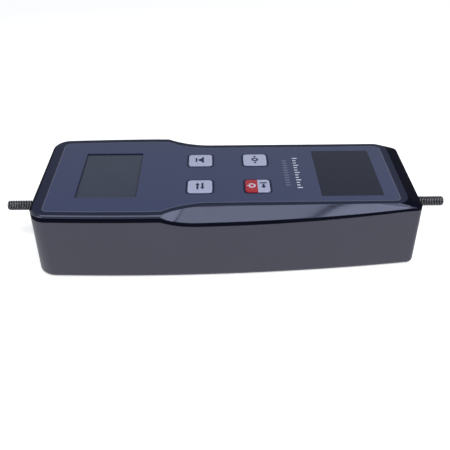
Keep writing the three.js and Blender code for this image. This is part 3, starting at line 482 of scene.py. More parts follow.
class Value:
    """One socket of a node tree. Sums written on it add Math nodes."""

    __add__ = maths("ADD")
    __radd__ = maths("ADD", reflected=True)
    __sub__ = maths("SUBTRACT")
    __rsub__ = maths("SUBTRACT", reflected=True)
    __mul__ = maths("MULTIPLY")
    __rmul__ = maths("MULTIPLY", reflected=True)
    __gt__ = maths("GREATER_THAN")
    __lt__ = maths("LESS_THAN")
    __abs__ = maths("ABSOLUTE")
    root = maths("SQRT")
    wave = maths("SINE")
    part = maths("FRACT")
    larger = maths("MAXIMUM")

    def __init__(self, tree, socket):
        self.tree = tree
        self.socket = socket


class NodeTree:
    """The nodes of a material or of the world, with one method for every kind of node."""

    def __init__(self, owner):
        owner.use_nodes = True
        self.owner = owner
        self.tree = owner.node_tree
        self.tree.nodes.clear()

    def node(self, kind, settings=(), inputs=(), output=0):
        """Adds a node and gives one of its outputs. A colour is given as three numbers."""
        made = self.tree.nodes.new(kind)
        for name, value in dict(settings).items():
            setattr(made, name, value)
        for key, value in dict(inputs).items():
            socket = made.inputs[key]
            if isinstance(value, Value):
                self.tree.links.new(value.socket, socket)
            else:
                socket.default_value = (*value, 1.0) if socket.type == "RGBA" else value
        return Value(self, made.outputs[output]) if made.outputs else None

    def seen(self):
        """1 for what the camera sees, also in a gloss or through glass, and 0 for light on its way."""
        straight, glossy, through = (self.node("ShaderNodeLightPath", output=f"Is {kind} Ray")
                                     for kind in ("Camera", "Glossy", "Transmission"))
        return straight.larger(glossy).larger(through)


class Finish(NodeTree):
    """A material with its patterns. Lengths are in millimetres."""

    def __init__(self, name):
        super().__init__(bpy.data.materials.new(name))
        self.place = self.node("ShaderNodeTexCoord", output="Object")

    def axis(self, letter):
        """The place along one axis."""
        split = self.node("ShaderNodeSeparateXYZ", inputs={0: self.place}, output="XYZ".index(letter))
        return split * (1 / MM)

    def stretched(self, x, y, z):
        return self.node("ShaderNodeMapping", inputs={"Vector": self.place, "Scale": (x, y, z)})

    def grain(self, size, detail=3.0, place=None):
        """Noise whose blots are about this large, from 0 to 1."""
        return self.node("ShaderNodeTexNoise", inputs={
            "Vector": place or self.place, "Scale": 1 / (size * MM), "Detail": detail})

    def between(self, share, first, second):
        """The first colour where the share is 0, the second where it is 1."""
        return self.node("ShaderNodeMix", {"data_type": "RGBA"}, {0: share, 6: first, 7: second}, 2)

    def rise(self, value, start, end):
        """A ramp from 0 at one place to 1 at another."""
        return self.node("ShaderNodeMapRange", inputs={"Value": value, "From Min": start, "From Max": end})

    def band(self, value, start, end, soft=0.02):
        """1 between two places, 0 outside them."""
        return self.rise(value, start - soft, start + soft) - self.rise(value, end - soft, end + soft)

    def relief(self, height, depth, normal=None):
        """A bump of this depth, on top of another one if there is one."""
        inputs = {"Height": height, "Distance": depth * MM}
        if normal:
            inputs["Normal"] = normal
        return self.node("ShaderNodeBump", inputs=inputs)

    def done(self, colour, roughness, normal=None, gloss=0.5, **constants):
        """Ends the finish with its shader. The gloss and the constants go on the shader's own sockets."""
        inputs = {"Base Color": colour, "Roughness": roughness, "Specular IOR Level": gloss}
        if normal:
            inputs["Normal"] = normal
        inputs.update({key.replace("_", " "): value for key, value in constants.items()})
        shader = self.node("ShaderNodeBsdfPrincipled", inputs=inputs)
        self.node("ShaderNodeOutputMaterial", inputs={"Surface": shader})
        return self.owner


# Moulded plastic: name, darker and lighter colour, roughness, size and depth of its grain, gloss
MOULDED = {
    "rear": ("satin_casing", (0.038, 0.038, 0.053), (0.0445, 0.0445, 0.0625), 0.42, 0.5, 0.012, 0.24),
    "front_gloss": ("gloss_flank", (0.006, 0.007, 0.017), (0.008, 0.0095, 0.023), 0.09, 2.5, 0.0012, 0.48,
                    (0.70, 0.745, 1.0)),
    # A lighter copy of the casing plastic with little gloss: a satin finish, its lifted colour painted light
    # on the level faces.
    "front_flat_painted_light": ("satin_rim", (0.012, 0.0155, 0.034), (0.015, 0.019, 0.041), 0.3, 0.5, 0.004, 0.03),
    # A darker copy of the casing plastic without gloss: painted shade on the lip and the end slopes.
    "front_painted_shade": ("dark_casing_edge", (0.003, 0.0035, 0.008), (0.0045, 0.005, 0.011), 0.3, 0.5, 0.004,
                   0.002),
    # A paler copy of the label film with more gloss: painted highlight along the label's edge.
    "label_painted_highlight": ("label_border", (0.044, 0.055, 0.10), (0.052, 0.063, 0.11), 0.4, 0.6, 0.004, 0.3),
    "plate": ("dark_plate", (0.0055, 0.0085, 0.019), (0.0075, 0.0105, 0.023), 0.36, 0.4, 0.004, 0.1),
    "chip": ("chip_body", (0.010, 0.010, 0.011), (0.018, 0.018, 0.02), 0.55, 0.12, 0.01),
    "moulding": ("black_moulding", (0.012, 0.012, 0.013), (0.019, 0.019, 0.021), 0.5, 0.3, 0.012),
    "nylon": ("natural_nylon", (0.70, 0.68, 0.60), (0.80, 0.78, 0.71), 0.45, 0.25, 0.006),
    "lead": ("lead_jacket", (0.03, 0.03, 0.035), (0.05, 0.05, 0.057), 0.48, 0.2, 0.008),
}

# Turned or drawn metal: name, darker and lighter colour, roughness, how its marks are stretched
ALONG_X, ALONG_Y, ALONG_Z = (0.04, 1.0, 1.0), (1.0, 0.04, 1.0), (1.0, 1.0, 0.04)
METALS = {
    "brass": ("turned_brass", (0.42, 0.26, 0.07), (0.62, 0.42, 0.14), 0.3, ALONG_X),
    "zinc": ("zinc_plate", (0.42, 0.43, 0.46), (0.62, 0.63, 0.66), 0.32, ALONG_Z),
    "aluminium": ("milled_aluminium", (0.5, 0.51, 0.53), (0.66, 0.67, 0.7), 0.38, ALONG_Y),
    "nickel": ("nickel_strip", (0.5, 0.51, 0.54), (0.7, 0.71, 0.75), 0.24, ALONG_Y),
}

# Key film: name, darker and lighter colour, gloss
KEY_FILMS = {
    "key": ("key_lavender", (0.30, 0.315, 0.445), (0.335, 0.355, 0.495), 0.35),
    "key_red": ("key_red", (0.27, 0.012, 0.020), (0.31, 0.016, 0.027), 0.2),
}

# Ink: name, darker and lighter colour
INKS = {
    "ink_dark": ("dark_ink", (0.014, 0.016, 0.04), (0.02, 0.023, 0.052)),
    "ink_outline": ("outline_ink", (0.009, 0.012, 0.037), (0.012, 0.016, 0.046)),
    "ink_white": ("white_ink", (0.48, 0.50, 0.62), (0.60, 0.62, 0.72)),
    "ink_grey": ("grey_ink", (0.10, 0.115, 0.175), (0.125, 0.14, 0.205)),
}


def make_finishes():
    made = {"label": label_finish(), "window": window_finish(), "thread": thread_finish(),
            "board": board_finish(), "foil": foil_finish(), "cell": cell_finish(), "strip": strip_finish(),
            "lcd": lcd_finish()}
    for make, kinds in ((moulded, MOULDED), (turned_metal, METALS), (key_finish, KEY_FILMS), (ink, INKS)):
        made.update({key: make(*values) for key, values in kinds.items()})
    return made


def moulded(name, dark, light, roughness, grain_size, grain_depth, gloss=0.5, tint=(1.0, 1.0, 1.0)):
    """Moulded plastic: cloudy colour, fine grain and faint flow marks."""
    f = Finish(name)
    cloud = f.grain(24.0, detail=4.0)
    fine = f.grain(grain_size, detail=2.0)
    rough = roughness + (cloud - 0.5) * 0.08 + (fine - 0.5) * 0.05
    flow = f.grain(9.0, detail=2.0, place=f.stretched(0.25, 1.0, 1.0))
    normal = f.relief(flow, 0.02, f.relief(fine, grain_depth))
    return f.done(f.between(cloud, dark, light), rough, normal, gloss, Specular_Tint=tint)


def turned_metal(name, dark, light, roughness, stretch):
    """Turned or drawn metal with fine marks along one axis and cloudy tarnish."""
    f = Finish(name)
    streaks = f.grain(0.24, place=f.stretched(*stretch))
    cloud = f.grain(5.0, detail=5.0)
    tone = f.between(cloud * 0.7 + streaks * 0.3, dark, light)
    rough = roughness + (streaks - 0.5) * 0.2 + (cloud - 0.5) * 0.12
    return f.done(tone, rough, f.relief(streaks, 0.006), Metallic=1.0)


def thread_finish():
    """Oiled steel in its own colour on the crests of the thread, with painted shade darkening its roots."""
    f = Finish("oiled_thread_painted_root_shade")
    up = f.axis("Z") - STUD_HEIGHT
    across = f.axis("Y")
    reach = (across * across + up * up).root()
    # The thread's roots are painted near black: painted shade that stands in for the thread's own shadow.
    root = f.band(reach, 0.0, 2.82, soft=0.1)
    streaks = f.grain(0.25, place=f.stretched(*ALONG_X))
    cloud = f.grain(3.0, detail=4.0)
    crest = f.between(cloud, (0.165, 0.165, 0.18), (0.275, 0.275, 0.295))
    colour = f.between(root, crest, (0.008, 0.008, 0.011))
    return f.done(colour, 0.26 + cloud * 0.1 + root * 0.2, f.relief(streaks, 0.004), Metallic=1.0)


def label_finish():
    """Printed film: slate blue, a little deeper at the display end, with a fine pebbled face."""
    f = Finish("slate_label")
    along = f.rise(f.axis("X"), -100.0, 95.0)
    cloud = f.grain(30.0)
    tone = f.between(along, (0.027, 0.036, 0.084), (0.033, 0.042, 0.088))
    lighter = f.between(along, (0.032, 0.041, 0.093), (0.038, 0.047, 0.097))
    pebble = f.grain(0.28, detail=2.0)
    rough = 0.40 + (pebble - 0.5) * 0.1 + (cloud - 0.5) * 0.06
    return f.done(f.between(cloud, tone, lighter), rough, f.relief(pebble, 0.005), 0.12)


def window_finish():
    """Hard-coated window: grey-green behind, darker print along its rim, faint cloud in the coat."""
    f = Finish("display_window")
    low, high = box_of("display_window")
    middle = (low + high) / 2
    rim_width = 2.1
    across = abs(f.axis("Y") - middle.y) - ((high.y - low.y) / 2 - rim_width)
    along = abs(f.axis("X") - middle.x) - ((high.x - low.x) / 2 - rim_width)
    rim = f.band(across.larger(along), 0.0, 99.0, soft=0.05)
    cloud = f.grain(16.0)
    depth = f.between(cloud, (0.021, 0.029, 0.052), (0.025, 0.034, 0.058))
    colour = f.between(rim, depth, (0.012, 0.015, 0.030))
    pebble = f.grain(0.5, detail=2.0)
    return f.done(colour, 0.22 + (cloud - 0.5) * 0.06, f.relief(pebble, 0.001), 0.12)


def key_finish(name, dark, light, gloss):
    """Embossed key film with a fine pebbled face."""
    f = Finish(name)
    cloud = f.grain(5.0)
    pebble = f.grain(0.25, detail=2.0)
    rough = 0.42 + (pebble - 0.5) * 0.1
    return f.done(f.between(cloud, dark, light), rough, f.relief(pebble, 0.006), gloss)


def ink(name, dark, light):
    """Screen-printed ink, a little uneven."""
    f = Finish(name)
    uneven = f.grain(0.6)
    return f.done(f.between(uneven, dark, light), 0.42 + uneven * 0.12, f.relief(uneven, 0.004), 0.06)


def board_finish():
    """Solder mask over copper tracks that run along and across the board."""
    f = Finish("solder_mask")
    cells = f.node("ShaderNodeTexVoronoi", {"distance": "MANHATTAN", "feature": "DISTANCE_TO_EDGE"},
                   {"Vector": f.place, "Scale": 230.0})
    rows = abs((f.axis("Y") * 0.55).part() - 0.5) < 0.16
    patches = f.grain(14.0, detail=1.0) > 0.5
    track = (cells < 0.09) * (1 - patches) + rows * patches
    cloud = f.grain(8.0)
    mask = f.between(cloud, (0.010, 0.075, 0.035), (0.014, 0.095, 0.045))
    colour = f.between(track, mask, (0.024, 0.15, 0.07))
    return f.done(colour, 0.34 + cloud * 0.1, f.relief(track, 0.03))


def foil_finish():
    """Gauge foil: thin bright runs of metal on amber film."""
    f = Finish("gauge_foil")
    half_run = 2.6
    runs = (f.axis("Z") * 1.6).part() < 0.45
    runs = runs * f.band(f.axis("Z"), STUD_HEIGHT - half_run, STUD_HEIGHT + half_run)
    cloud = f.grain(1.5)
    film = f.between(cloud, (0.45, 0.2, 0.035), (0.56, 0.28, 0.06))
    return f.done(f.between(runs, film, (0.5, 0.48, 0.42)), 0.32 + cloud * 0.1, f.relief(runs, 0.01))


def cell_finish():
    """Shrunk sleeve with a plain copper band towards one end, and bare metal ends."""
    f = Finish("cell_sleeve")
    low, high = box_of("battery_1")
    x = f.axis("X") - low.x
    length = high.x - low.x
    cloud = f.grain(3.0, place=f.stretched(0.3, 1.0, 1.0))
    sleeve = f.between(cloud, (0.018, 0.11, 0.26), (0.026, 0.15, 0.34))
    banded = f.between(f.band(x, 0.72 * length, 0.9 * length), sleeve, (0.42, 0.2, 0.06))
    lined = f.between(f.band(x, 0.685 * length, 0.7 * length), banded, (0.6, 0.6, 0.62))
    shrink = f.grain(0.8, detail=2.0)
    return f.done(lined, 0.28 + shrink * 0.12, f.relief(shrink, 0.01))


def strip_finish():
    """Contact strip of thin dark and pale layers along its length."""
    f = Finish("layered_strip")
    layer = (f.axis("X") * 2.2).part() < 0.5
    cloud = f.grain(1.2)
    colour = f.between(layer, (0.30, 0.27, 0.27), (0.05, 0.05, 0.052))
    return f.done(colour, 0.6 + cloud * 0.15, f.relief(cloud, 0.01))


def lcd_finish():
    """Display glass: grey-green with the pale trace of its edge seal."""
    f = Finish("display_glass")
    cloud = f.grain(12.0, detail=2.0)
    sweep = (f.axis("Y") * 0.35).wave() * 0.5 + 0.5
    colour = f.between(cloud * 0.6 + sweep * 0.4, (0.060, 0.075, 0.078), (0.075, 0.092, 0.092))
    return f.done(colour, 0.18 + cloud * 0.08, f.relief(cloud, 0.002))


# Shells

def rear_rings():
    """Outside of the rear shell, from the back face up its rounded edge."""
    rings = []
    for step in range(BOTTOM_STEPS + 1):
        angle = step / BOTTOM_STEPS * math.pi / 2
        inset = DRAFT + BOTTOM_ROUNDING * (1 - math.sin(angle))
        rings.append(casing_ring(inset, level(BOTTOM_ROUNDING * (1 - math.cos(angle))), DRAFT))
    return rings


def rear_edge(inset, drop):
    return casing_ring(inset, lambda x: parting_height(x) - PARTING_GAP / 2 - drop)


def rear_shell(finishes):
    """Rear shell: a tray with posts, counterbores, the slot of the door and a hole for each stud."""
    inside = WALL + DRAFT
    rings = rear_rings()
    rings += [rear_edge(0.004, 0.3), rear_edge(0.04, 0.09), rear_edge(0.28, 0.0), rear_edge(WALL, 0.0)]
    rings += [casing_ring(inside, level(FLOOR + 1.5)), casing_ring(inside + 0.45, level(FLOOR + 0.45), WALL),
              casing_ring(inside + 1.5, level(FLOOR), WALL)]
    shell = drawn("rear_shell_moulding", rings)
    foot_radius = POST_RADIUS + 0.5
    added = upright("post", CASE_SCREWS, [
        (foot_radius, ROOT), (foot_radius, FLOOR + 0.2), (POST_RADIUS, FLOOR + 1.2),
        (POST_RADIUS, POST_TOP - EASING), (POST_RADIUS - EASING, POST_TOP)])
    added += upright("boss", BRACKET_SCREWS, [
        (BOSS_RADIUS, ROOT), (BOSS_RADIUS, BOSS_TOP - EASING), (BOSS_RADIUS - EASING, BOSS_TOP)])
    combine(shell, joined(added, "posts"), "UNION")
    mouth_radius = COUNTERBORE_RADIUS + 0.25
    cuts = upright("counterbore", CASE_SCREWS, [
        (mouth_radius, -OVERRUN), (mouth_radius, 0.0), (COUNTERBORE_RADIUS, 0.25),
        (COUNTERBORE_RADIUS, COUNTERBORE_DEPTH), (SCREW_HOLE_RADIUS, COUNTERBORE_DEPTH),
        (SCREW_HOLE_RADIUS, POST_TOP + OVERRUN)])
    cuts += upright("pilot", BRACKET_SCREWS, [(SCREW_HOLE_RADIUS, FLOOR), (SCREW_HOLE_RADIUS, 12.0)], 24)
    for start, end in ((-HALF_LENGTH - 3, -HALF_LENGTH + 6), (HALF_LENGTH - 6, HALF_LENGTH + 3)):
        cuts.append(turned("stud_hole", (0.0, STUD_HEIGHT), [(BUSH_RADIUS + GAP, start),
                                                             (BUSH_RADIUS + GAP, end)]))
    door_low, door_high = box_of("battery_door")
    tray_low, tray_high = box_of("battery_tray")
    half_lip = door_high.y - DOOR_FLANGE + GAP
    half_flange = door_high.y + GAP
    lip = 0.8
    slot = rectangle(door_low.x - GAP, DOOR_END, half_lip)
    channel = rectangle(door_low.x - GAP, DOOR_END, half_flange)
    cuts.append(stepped("door_slot", [(slot, -OVERRUN), (slot, lip), (channel, lip), (channel, FLOOR)]))
    combine(shell, joined(cuts, "cuts"), "DIFFERENCE")
    opening = rectangle(tray_low.x + 2, tray_high.x - 2, half_lip)
    combine(shell, flat_form("tray_opening", opening, 0.0, 2 * FLOOR), "DIFFERENCE")
    smooth(shell)
    finish_piece(shell, "rear_shell", "casing", [finishes["rear"]])


def flank_point(upper, lower, share):
    """A point of the flank, from the flat top at 0 to the lip at 1: sloped, and rounded at the display."""
    flat = FLANK_FLATNESS * smoothstep(WAIST_START, WAIST_START + FLANK_SETTLE, upper.x)
    late = max(0.0, 2 * share - 1)
    early = min(1.0, 2 * share)
    out = mix(SLOPE_OUT * early, 1, 1 - (1 - late) ** 2)
    down = mix(mix(SLOPE_DOWN * early, SLOPE_MIDDLE, late), mix(SLOPE_MIDDLE, 1, late), late)
    out = mix(out, share, flat)
    down = mix(down, share, flat)
    return Vector((mix(upper.x, lower.x, out), mix(upper.y, lower.y, out), mix(upper.z, lower.z, down)))


def front_profile(upper, lower, foot):
    """One section through lip, flank and the edge of the flat top, its corners rounded."""
    inward = Vector((upper.x - lower.x, upper.y - lower.y, 0))
    slope = math.hypot(inward.length, upper.z - lower.z)
    inward.normalize()
    down = Vector((0, 0, -1))
    lip_cut = mix(0.12, 0.5, waist_change(upper.x))
    edge_cut = mix(0.12, 0.4, waist_change(upper.x))
    start = 1 - lip_cut / slope
    end = edge_cut / slope
    points = fillet(foot + inward * EASING, foot, foot - down * EASING, LIP_STEPS)
    points += fillet(lower + down * lip_cut, lower, flank_point(upper, lower, start), LIP_STEPS)
    points += [flank_point(upper, lower, mix(start, end, i / FLANK_STEPS)) for i in range(1, FLANK_STEPS)]
    points += fillet(flank_point(upper, lower, end), upper, upper + inward * edge_cut, EDGE_STEPS)
    return points


def front_boss(low):
    return [(FRONT_BOSS_RADIUS - EASING, low), (FRONT_BOSS_RADIUS, low + EASING), (FRONT_BOSS_RADIUS, 40.4)]


def front_shell(finishes):
    """Front shell: flat top with its label pocket, glossy flanks and the lip round the edge."""
    upper = plateau_ring(0, level(TOP))
    lower = casing_ring(0, lip_top_height)
    foot = casing_ring(0, front_edge_height)
    rings = [plateau_ring(WALL / 2, level(CEILING)), casing_ring(WALL, front_edge_height)]
    rings += zip(*(front_profile(*places) for places in zip(upper, lower, foot)))
    rings += [label_ring(inset, level(TOP - drop))
              for inset, drop in ((-0.22, 0), (-0.07, 0.05), (0, 0.2), (0, LABEL_POCKET))]
    shell = drawn("front_shell_moulding", rings)
    low, high = box_of("display_window")
    margin, ledge = 0.15, 2.7
    seat = rectangle(low.x - margin, high.x + margin, high.y + margin)
    opening = rectangle(low.x + ledge, high.x - ledge, high.y - ledge)
    cuts = [flat_form("window_seat", seat, 39.8, ABOVE_FRONT)]
    cuts += [flat_form("key_hole", key_form(node, 14.9, 1.85), BELOW_FRONT, ABOVE_FRONT) for node in KEYS]
    combine(shell, joined(cuts, "cuts"), "DIFFERENCE")
    combine(shell, flat_form("window_opening", opening, BELOW_FRONT, ABOVE_FRONT), "DIFFERENCE")
    bosses = upright("boss", BOARD_SCREWS, front_boss(BOARD_TOP), 24)
    bosses += upright("boss", CASE_SCREWS, front_boss(POST_TOP + GAP), 24)
    combine(shell, joined(bosses, "bosses"), "UNION")
    smooth(shell)
    finish_piece(shell, "front_shell", "casing",
                 [finishes["front_gloss"], finishes["front_flat_painted_light"], finishes["front_painted_shade"]])
    # Faces of the lip and of the end slopes take the painted shade, level faces the painted lighter tone, and
    # the rest stays gloss.
    for face in shell.data.polygons:
        centre = face.center / MM
        if centre.x > 90:
            end_in_painted_shade = face.normal.x > 0.15
        else:
            end_in_painted_shade = face.normal.x < -0.12 and abs(centre.y) < 37
        if end_in_painted_shade or centre.z < lip_top_height(centre.x) + 0.05:
            face.material_index = 2
        elif face.normal.z > 0.98:
            face.material_index = 1


# Label, window, plate and keys

def front_label(finishes):
    """Label film with a paler line painted round its edge as a highlight, cut out for window, plate and keys.
    """
    low, high = box_of("front_label")
    label = drawn("label_film", [label_ring(inset, level(z)) for inset, z in (
        (0.15, low.z), (0.15, high.z - 0.12), (0.19, high.z - 0.035), (0.28, high.z), (0.75, high.z))])
    materials = [finishes["label"], finishes["label_painted_highlight"]]
    put_materials(label, materials)
    # The rounded edge and the band next to it take the painted highlight.
    for face in label.data.polygons:
        on_top = face.normal.z > 0.3 and len(face.vertices) == 4
        face.material_index = 1 if on_top else 0
    holes = [form_of("display_window", 1.2, 0.6, 4), form_of("blank_plate", -0.1, 0.6, 4)]
    holes += [key_form(node, 14.6, 2.1) for node in KEYS]
    cuts = [flat_form("opening", hole, BELOW_LABEL, ABOVE_FRONT) for hole in holes]
    combine(label, joined(cuts, "cuts"), "DIFFERENCE")
    soften(label, 0.06, 60)
    smooth(label)
    finish_piece(label, "front_label", "casing", materials)


def sunk_plate(node, name, material, radius, edge):
    """A rectangular plate, its upper edge eased in (inset, drop) steps."""
    low, high = box_of(node)
    steps = [(form_of(node, 0, radius), low.z)]
    steps += [(form_of(node, inset, radius), high.z - drop) for inset, drop in edge]
    finish_piece(smooth(stepped(name, steps)), node, "casing", [material])


def key_cap(node, body, finishes):
    """Key cap with flange and softly domed face, half red on the power key. Gives its middle and top."""
    low, high = box_of(node)
    centre = ((low + high) / 2).xy
    face = high.z - 0.04
    flange = low.z + KEY_FLANGE
    steps = [(KEY_FLANGE_LENGTH, 2.6, low.z), (KEY_FLANGE_LENGTH, 2.6, flange), (KEY_LENGTH, 2.0, flange),
             (KEY_LENGTH, 2.0, face - 0.36), (13.9, 2.0, face - 0.2), (13.7, 1.9, face - 0.1),
             (13.3, 1.8, face - 0.045), (12.3, 1.5, face - 0.015), (10.5, 1.0, face)]
    cap = stepped(f"cap_{node}", [(key_form(node, length, radius, 0.9), z) for length, radius, z in steps])
    materials = [finishes["key"]]
    two_coloured = node == "key_power"
    if two_coloured:
        materials.append(finishes["key_red"])
        bpy.ops.object.mode_set(mode="EDIT")
        bpy.ops.mesh.select_all(action="SELECT")
        bpy.ops.mesh.bisect(plane_co=(centre.x * MM, 0, 0), plane_no=(1, 0, 0))
        bpy.ops.object.mode_set(mode="OBJECT")
    smooth(cap, 40)
    finish_piece(cap, node, body, materials)
    if two_coloured:
        for part in cap.data.polygons:
            part.material_index = 1 if part.center.x < centre.x * MM else 0
    return centre, face


def key_outline(node, finishes):
    """A printed line round a key."""
    top = box_of("front_label")[1].z
    outer = key_form(node, 16.3, 2.6, corner_steps=8)
    inner = key_form(node, 14.65, 2.15, corner_steps=8)
    low, high = top - 0.02, top + 0.025
    steps = [(outer, low), (outer, high), (inner, high), (inner, low)]
    outline = stepped(f"outline_{node}", steps, hollow=True)
    finish_piece(outline, None, "casing", [finishes["ink_outline"]])


def keys(finishes):
    places = {node: key_cap(node, body, finishes) for node, body in KEYS.items()}
    key_signs(finishes, places)
    for node in KEYS:
        key_outline(node, finishes)


# Signs and marks, each a thin piece

def stroke(points, width):
    """Outline of a line of this width through points."""
    left, right = [], []
    for i, point in enumerate(points):
        before = Vector(points[max(i - 1, 0)])
        after = Vector(points[min(i + 1, len(points) - 1)])
        along = (after - before).normalized()
        side = Vector((-along.y, along.x)) * width / 2
        left.append(tuple(Vector(point) + side))
        right.append(tuple(Vector(point) - side))
    return left + right[::-1]


def arc(centre, radius, start, end, steps=28):
    return [on_circle(centre, radius, math.radians(mix(start, end, i / steps))) for i in range(steps + 1)]


def arrow(start, end, width, head):
    """Outline of an arrow from one place to another."""
    a, b = Vector(start), Vector(end)
    along = (b - a).normalized()
    side = Vector((-along.y, along.x))
    neck = b - along * head
    barb = side * head * 0.62
    half = side * width / 2
    return [tuple(c) for c in (a + half, neck + half, neck + barb, b, neck - barb, neck - half, a - half)]


def marks(name, outlines, base, thickness, body, material):
    """Printed signs as one thin piece."""
    piece = joined([flat_form(name, outline, base, base + thickness) for outline in outlines], name)
    finish_piece(piece, None, body, [material])


def key_signs(finishes, places):
    """A plain sign on each key, drawn upright for a reader at the foot end."""
    hill = [(-3.4, -2.0), (3.4, -2.0), (3.4, -1.1), (2.2, -0.9), (0.9, 1.0), (0, 1.6), (-0.9, 1.0),
            (-2.2, -0.9), (-3.4, -1.1)]
    signs = (
        ("sign_peak", "key_peak", 0.0, "ink_dark", [hill, stroke([(-2.4, 2.5), (2.4, 2.5)], 1.0)]),
        ("sign_unit", "key_unit", 0.0, "ink_dark", [arrow((-3.4, 1.4), (3.4, 1.4), 1.15, 2.1),
                                                    arrow((3.4, -1.4), (-3.4, -1.4), 1.15, 2.1)]),
        ("sign_zero", "key_zero", 0.0, "ink_dark", [stroke(arc((0, 0), 1.5, 0, 358), 1.1),
                                                    arrow((-4.4, 0), (-2.3, 0), 1.1, 1.4),
                                                    arrow((4.4, 0), (2.3, 0), 1.1, 1.4)]),
        ("sign_power", "key_power", -3.5, "ink_white", [stroke(arc((0, -0.15), 1.8, 125, 415), 0.8),
                                                        stroke([(0, 0.2), (0, 2.4)], 0.8)]),
        ("sign_leave", "key_power", 3.4, "ink_dark", [arrow((1.7, 0), (-3.1, 0), 1.2, 2.4),
                                                      stroke([(2.8, -2.0), (2.8, 2.0)], 1.1)]),
    )
    for name, node, shift, colour, outlines in signs:
        centre, face = places[node]
        placed = [[(centre[0] + shift - v, centre[1] + u) for u, v in outline] for outline in outlines]
        marks(name, placed, face - SUNK, SIGN_THICKNESS, KEYS[node], finishes[colour])


def label_marks(finishes):
    """A plain scale of ticks and a row of dashes where the face carries its print."""
    base = box_of("front_label")[1].z - SUNK
    start, half_tick = 40.0, 0.45
    ticks = []
    for i in range(13):
        y = -16.8 + i * PRINT_PITCH
        end = start + (2.9 if i % 3 == 0 else 1.9)
        ticks.append([(x, y + side) for x, side in rectangle(start, end, half_tick)])
    dashes = [rounded_rectangle((34.9, -14.0 + i * PRINT_PITCH), 2.8, 1.3, 0.5, 3) for i in range(11)]
    marks("scale_ticks", ticks, base, PRINT_THICKNESS, "casing", finishes["ink_white"])
    marks("scale_dashes", dashes, base, PRINT_THICKNESS, "casing", finishes["ink_grey"])


# Studs, bushes, battery door and cells

def thread_radius(along, turn):
    """Radius of the thread, a 1 mm pitch ridge with flat crest and root."""
    share = abs(2 * ((along - turn) % 1.0) - 1)
    return STUD_RADIUS - THREAD_DEPTH * min(1.0, max(0.0, (share - 0.14) / 0.72))


def stud(node, body, direction, finishes):
    """Stud with a plain shank inside and a helical thread outside, chamfered at its tip."""
    low, high = box_of(node)
    tip = max(abs(low.x), abs(high.x))
    inner = direction * (low.x if direction > 0 else high.x)
    start = HALF_LENGTH - THREAD_RUN_IN
    rings_per_turn, count = 10, 28
    total = round((tip - start) * rings_per_turn)
    rings = []
    for position in [inner, inner + EASING] + [mix(start, tip, i / total) for i in range(total + 1)]:
        ring = []
        for i in range(count):
            radius = STUD_RADIUS
            if position >= start:
                fade = min(1.0, (position - start) / THREAD_FADE)
                radius = mix(STUD_RADIUS, thread_radius(position, i / count * direction), fade)
            radius = min(radius, TIP_RADIUS + (tip - position), STUD_RADIUS - EASING + (position - inner))
            place = on_circle((0.0, STUD_HEIGHT), radius, 2 * math.pi * (i / count))
            ring.append(Vector((direction * position, *place)))
        rings.append(ring)
    piece = smooth(drawn(f"threaded_{node}", rings), 50)
    finish_piece(piece, node, body, [finishes["thread"]])


def bush(node, direction, finishes):
    """Flanged bush in an end wall."""
    hole = STUD_RADIUS + GAP
    face = HALF_LENGTH - WALL - DRAFT - GAP
    back = face - 1.5
    out = HALF_LENGTH - DRAFT + 0.8
    profile = [(hole, back + EASING), (hole + EASING, back), (BUSH_FLANGE_RADIUS - EASING, back),
               (BUSH_FLANGE_RADIUS, back + EASING), (BUSH_FLANGE_RADIUS, face), (BUSH_RADIUS, face),
               (BUSH_RADIUS, out - 0.35), (BUSH_RADIUS - 0.1, out - 0.12), (BUSH_RADIUS - 0.35, out),
               (hole + 0.45, out), (hole + 0.1, out - 0.12), (hole, out - 0.35)]
    profile = [(radius, direction * position) for radius, position in profile]
    piece = smooth(turned(f"turned_{node}", (0.0, STUD_HEIGHT), profile, count=56, hollow=True))
    finish_piece(piece, node, "casing", [finishes["brass"]])


def door_rib(x, outer):
    """A rounded rib across the door, lower and narrower at both ends."""
    root = 0.5
    section = [(0.5, root), (0.46, 0.24), (0.3, 0.12), (0.0, outer), (-0.3, 0.12), (-0.46, 0.24),
               (-0.5, root)]
    places = ((-10.0, 0.35), (-9.75, 0.8), (-9.4, 1.0), (9.4, 1.0), (9.75, 0.8), (10.0, 0.35))
    return drawn("rib", [[Vector((x + sx * size, y, root - (root - sz) * size)) for sx, sz in section]
                         for y, size in places])


def battery_door(finishes):
    """Sliding door in the back with ribs to push it by, cut to the rounded foot end."""
    low, high = box_of("battery_door")
    end = HALF_LENGTH + OVERRUN
    plate = rectangle(low.x, end, high.y - DOOR_FLANGE)
    flange = rectangle(low.x, end, high.y)
    door = stepped("sliding_door", [(plate, GAP), (plate, DOOR_STEP), (flange, DOOR_STEP), (flange, high.z)])
    combine(door, drawn("casing_form", rear_rings()), "INTERSECT")
    soften(door, 0.12, 40)
    smooth(door)
    ribs = [door_rib(HALF_LENGTH - 16 - i * 2.6 - 0.5, low.z) for i in range(5)]
    grip = smooth(joined(ribs, "door_ribs"), 50)
    finish_piece(door, "battery_door", "door", [finishes["rear"]])
    finish_piece(grip, None, "door", [finishes["rear"]])


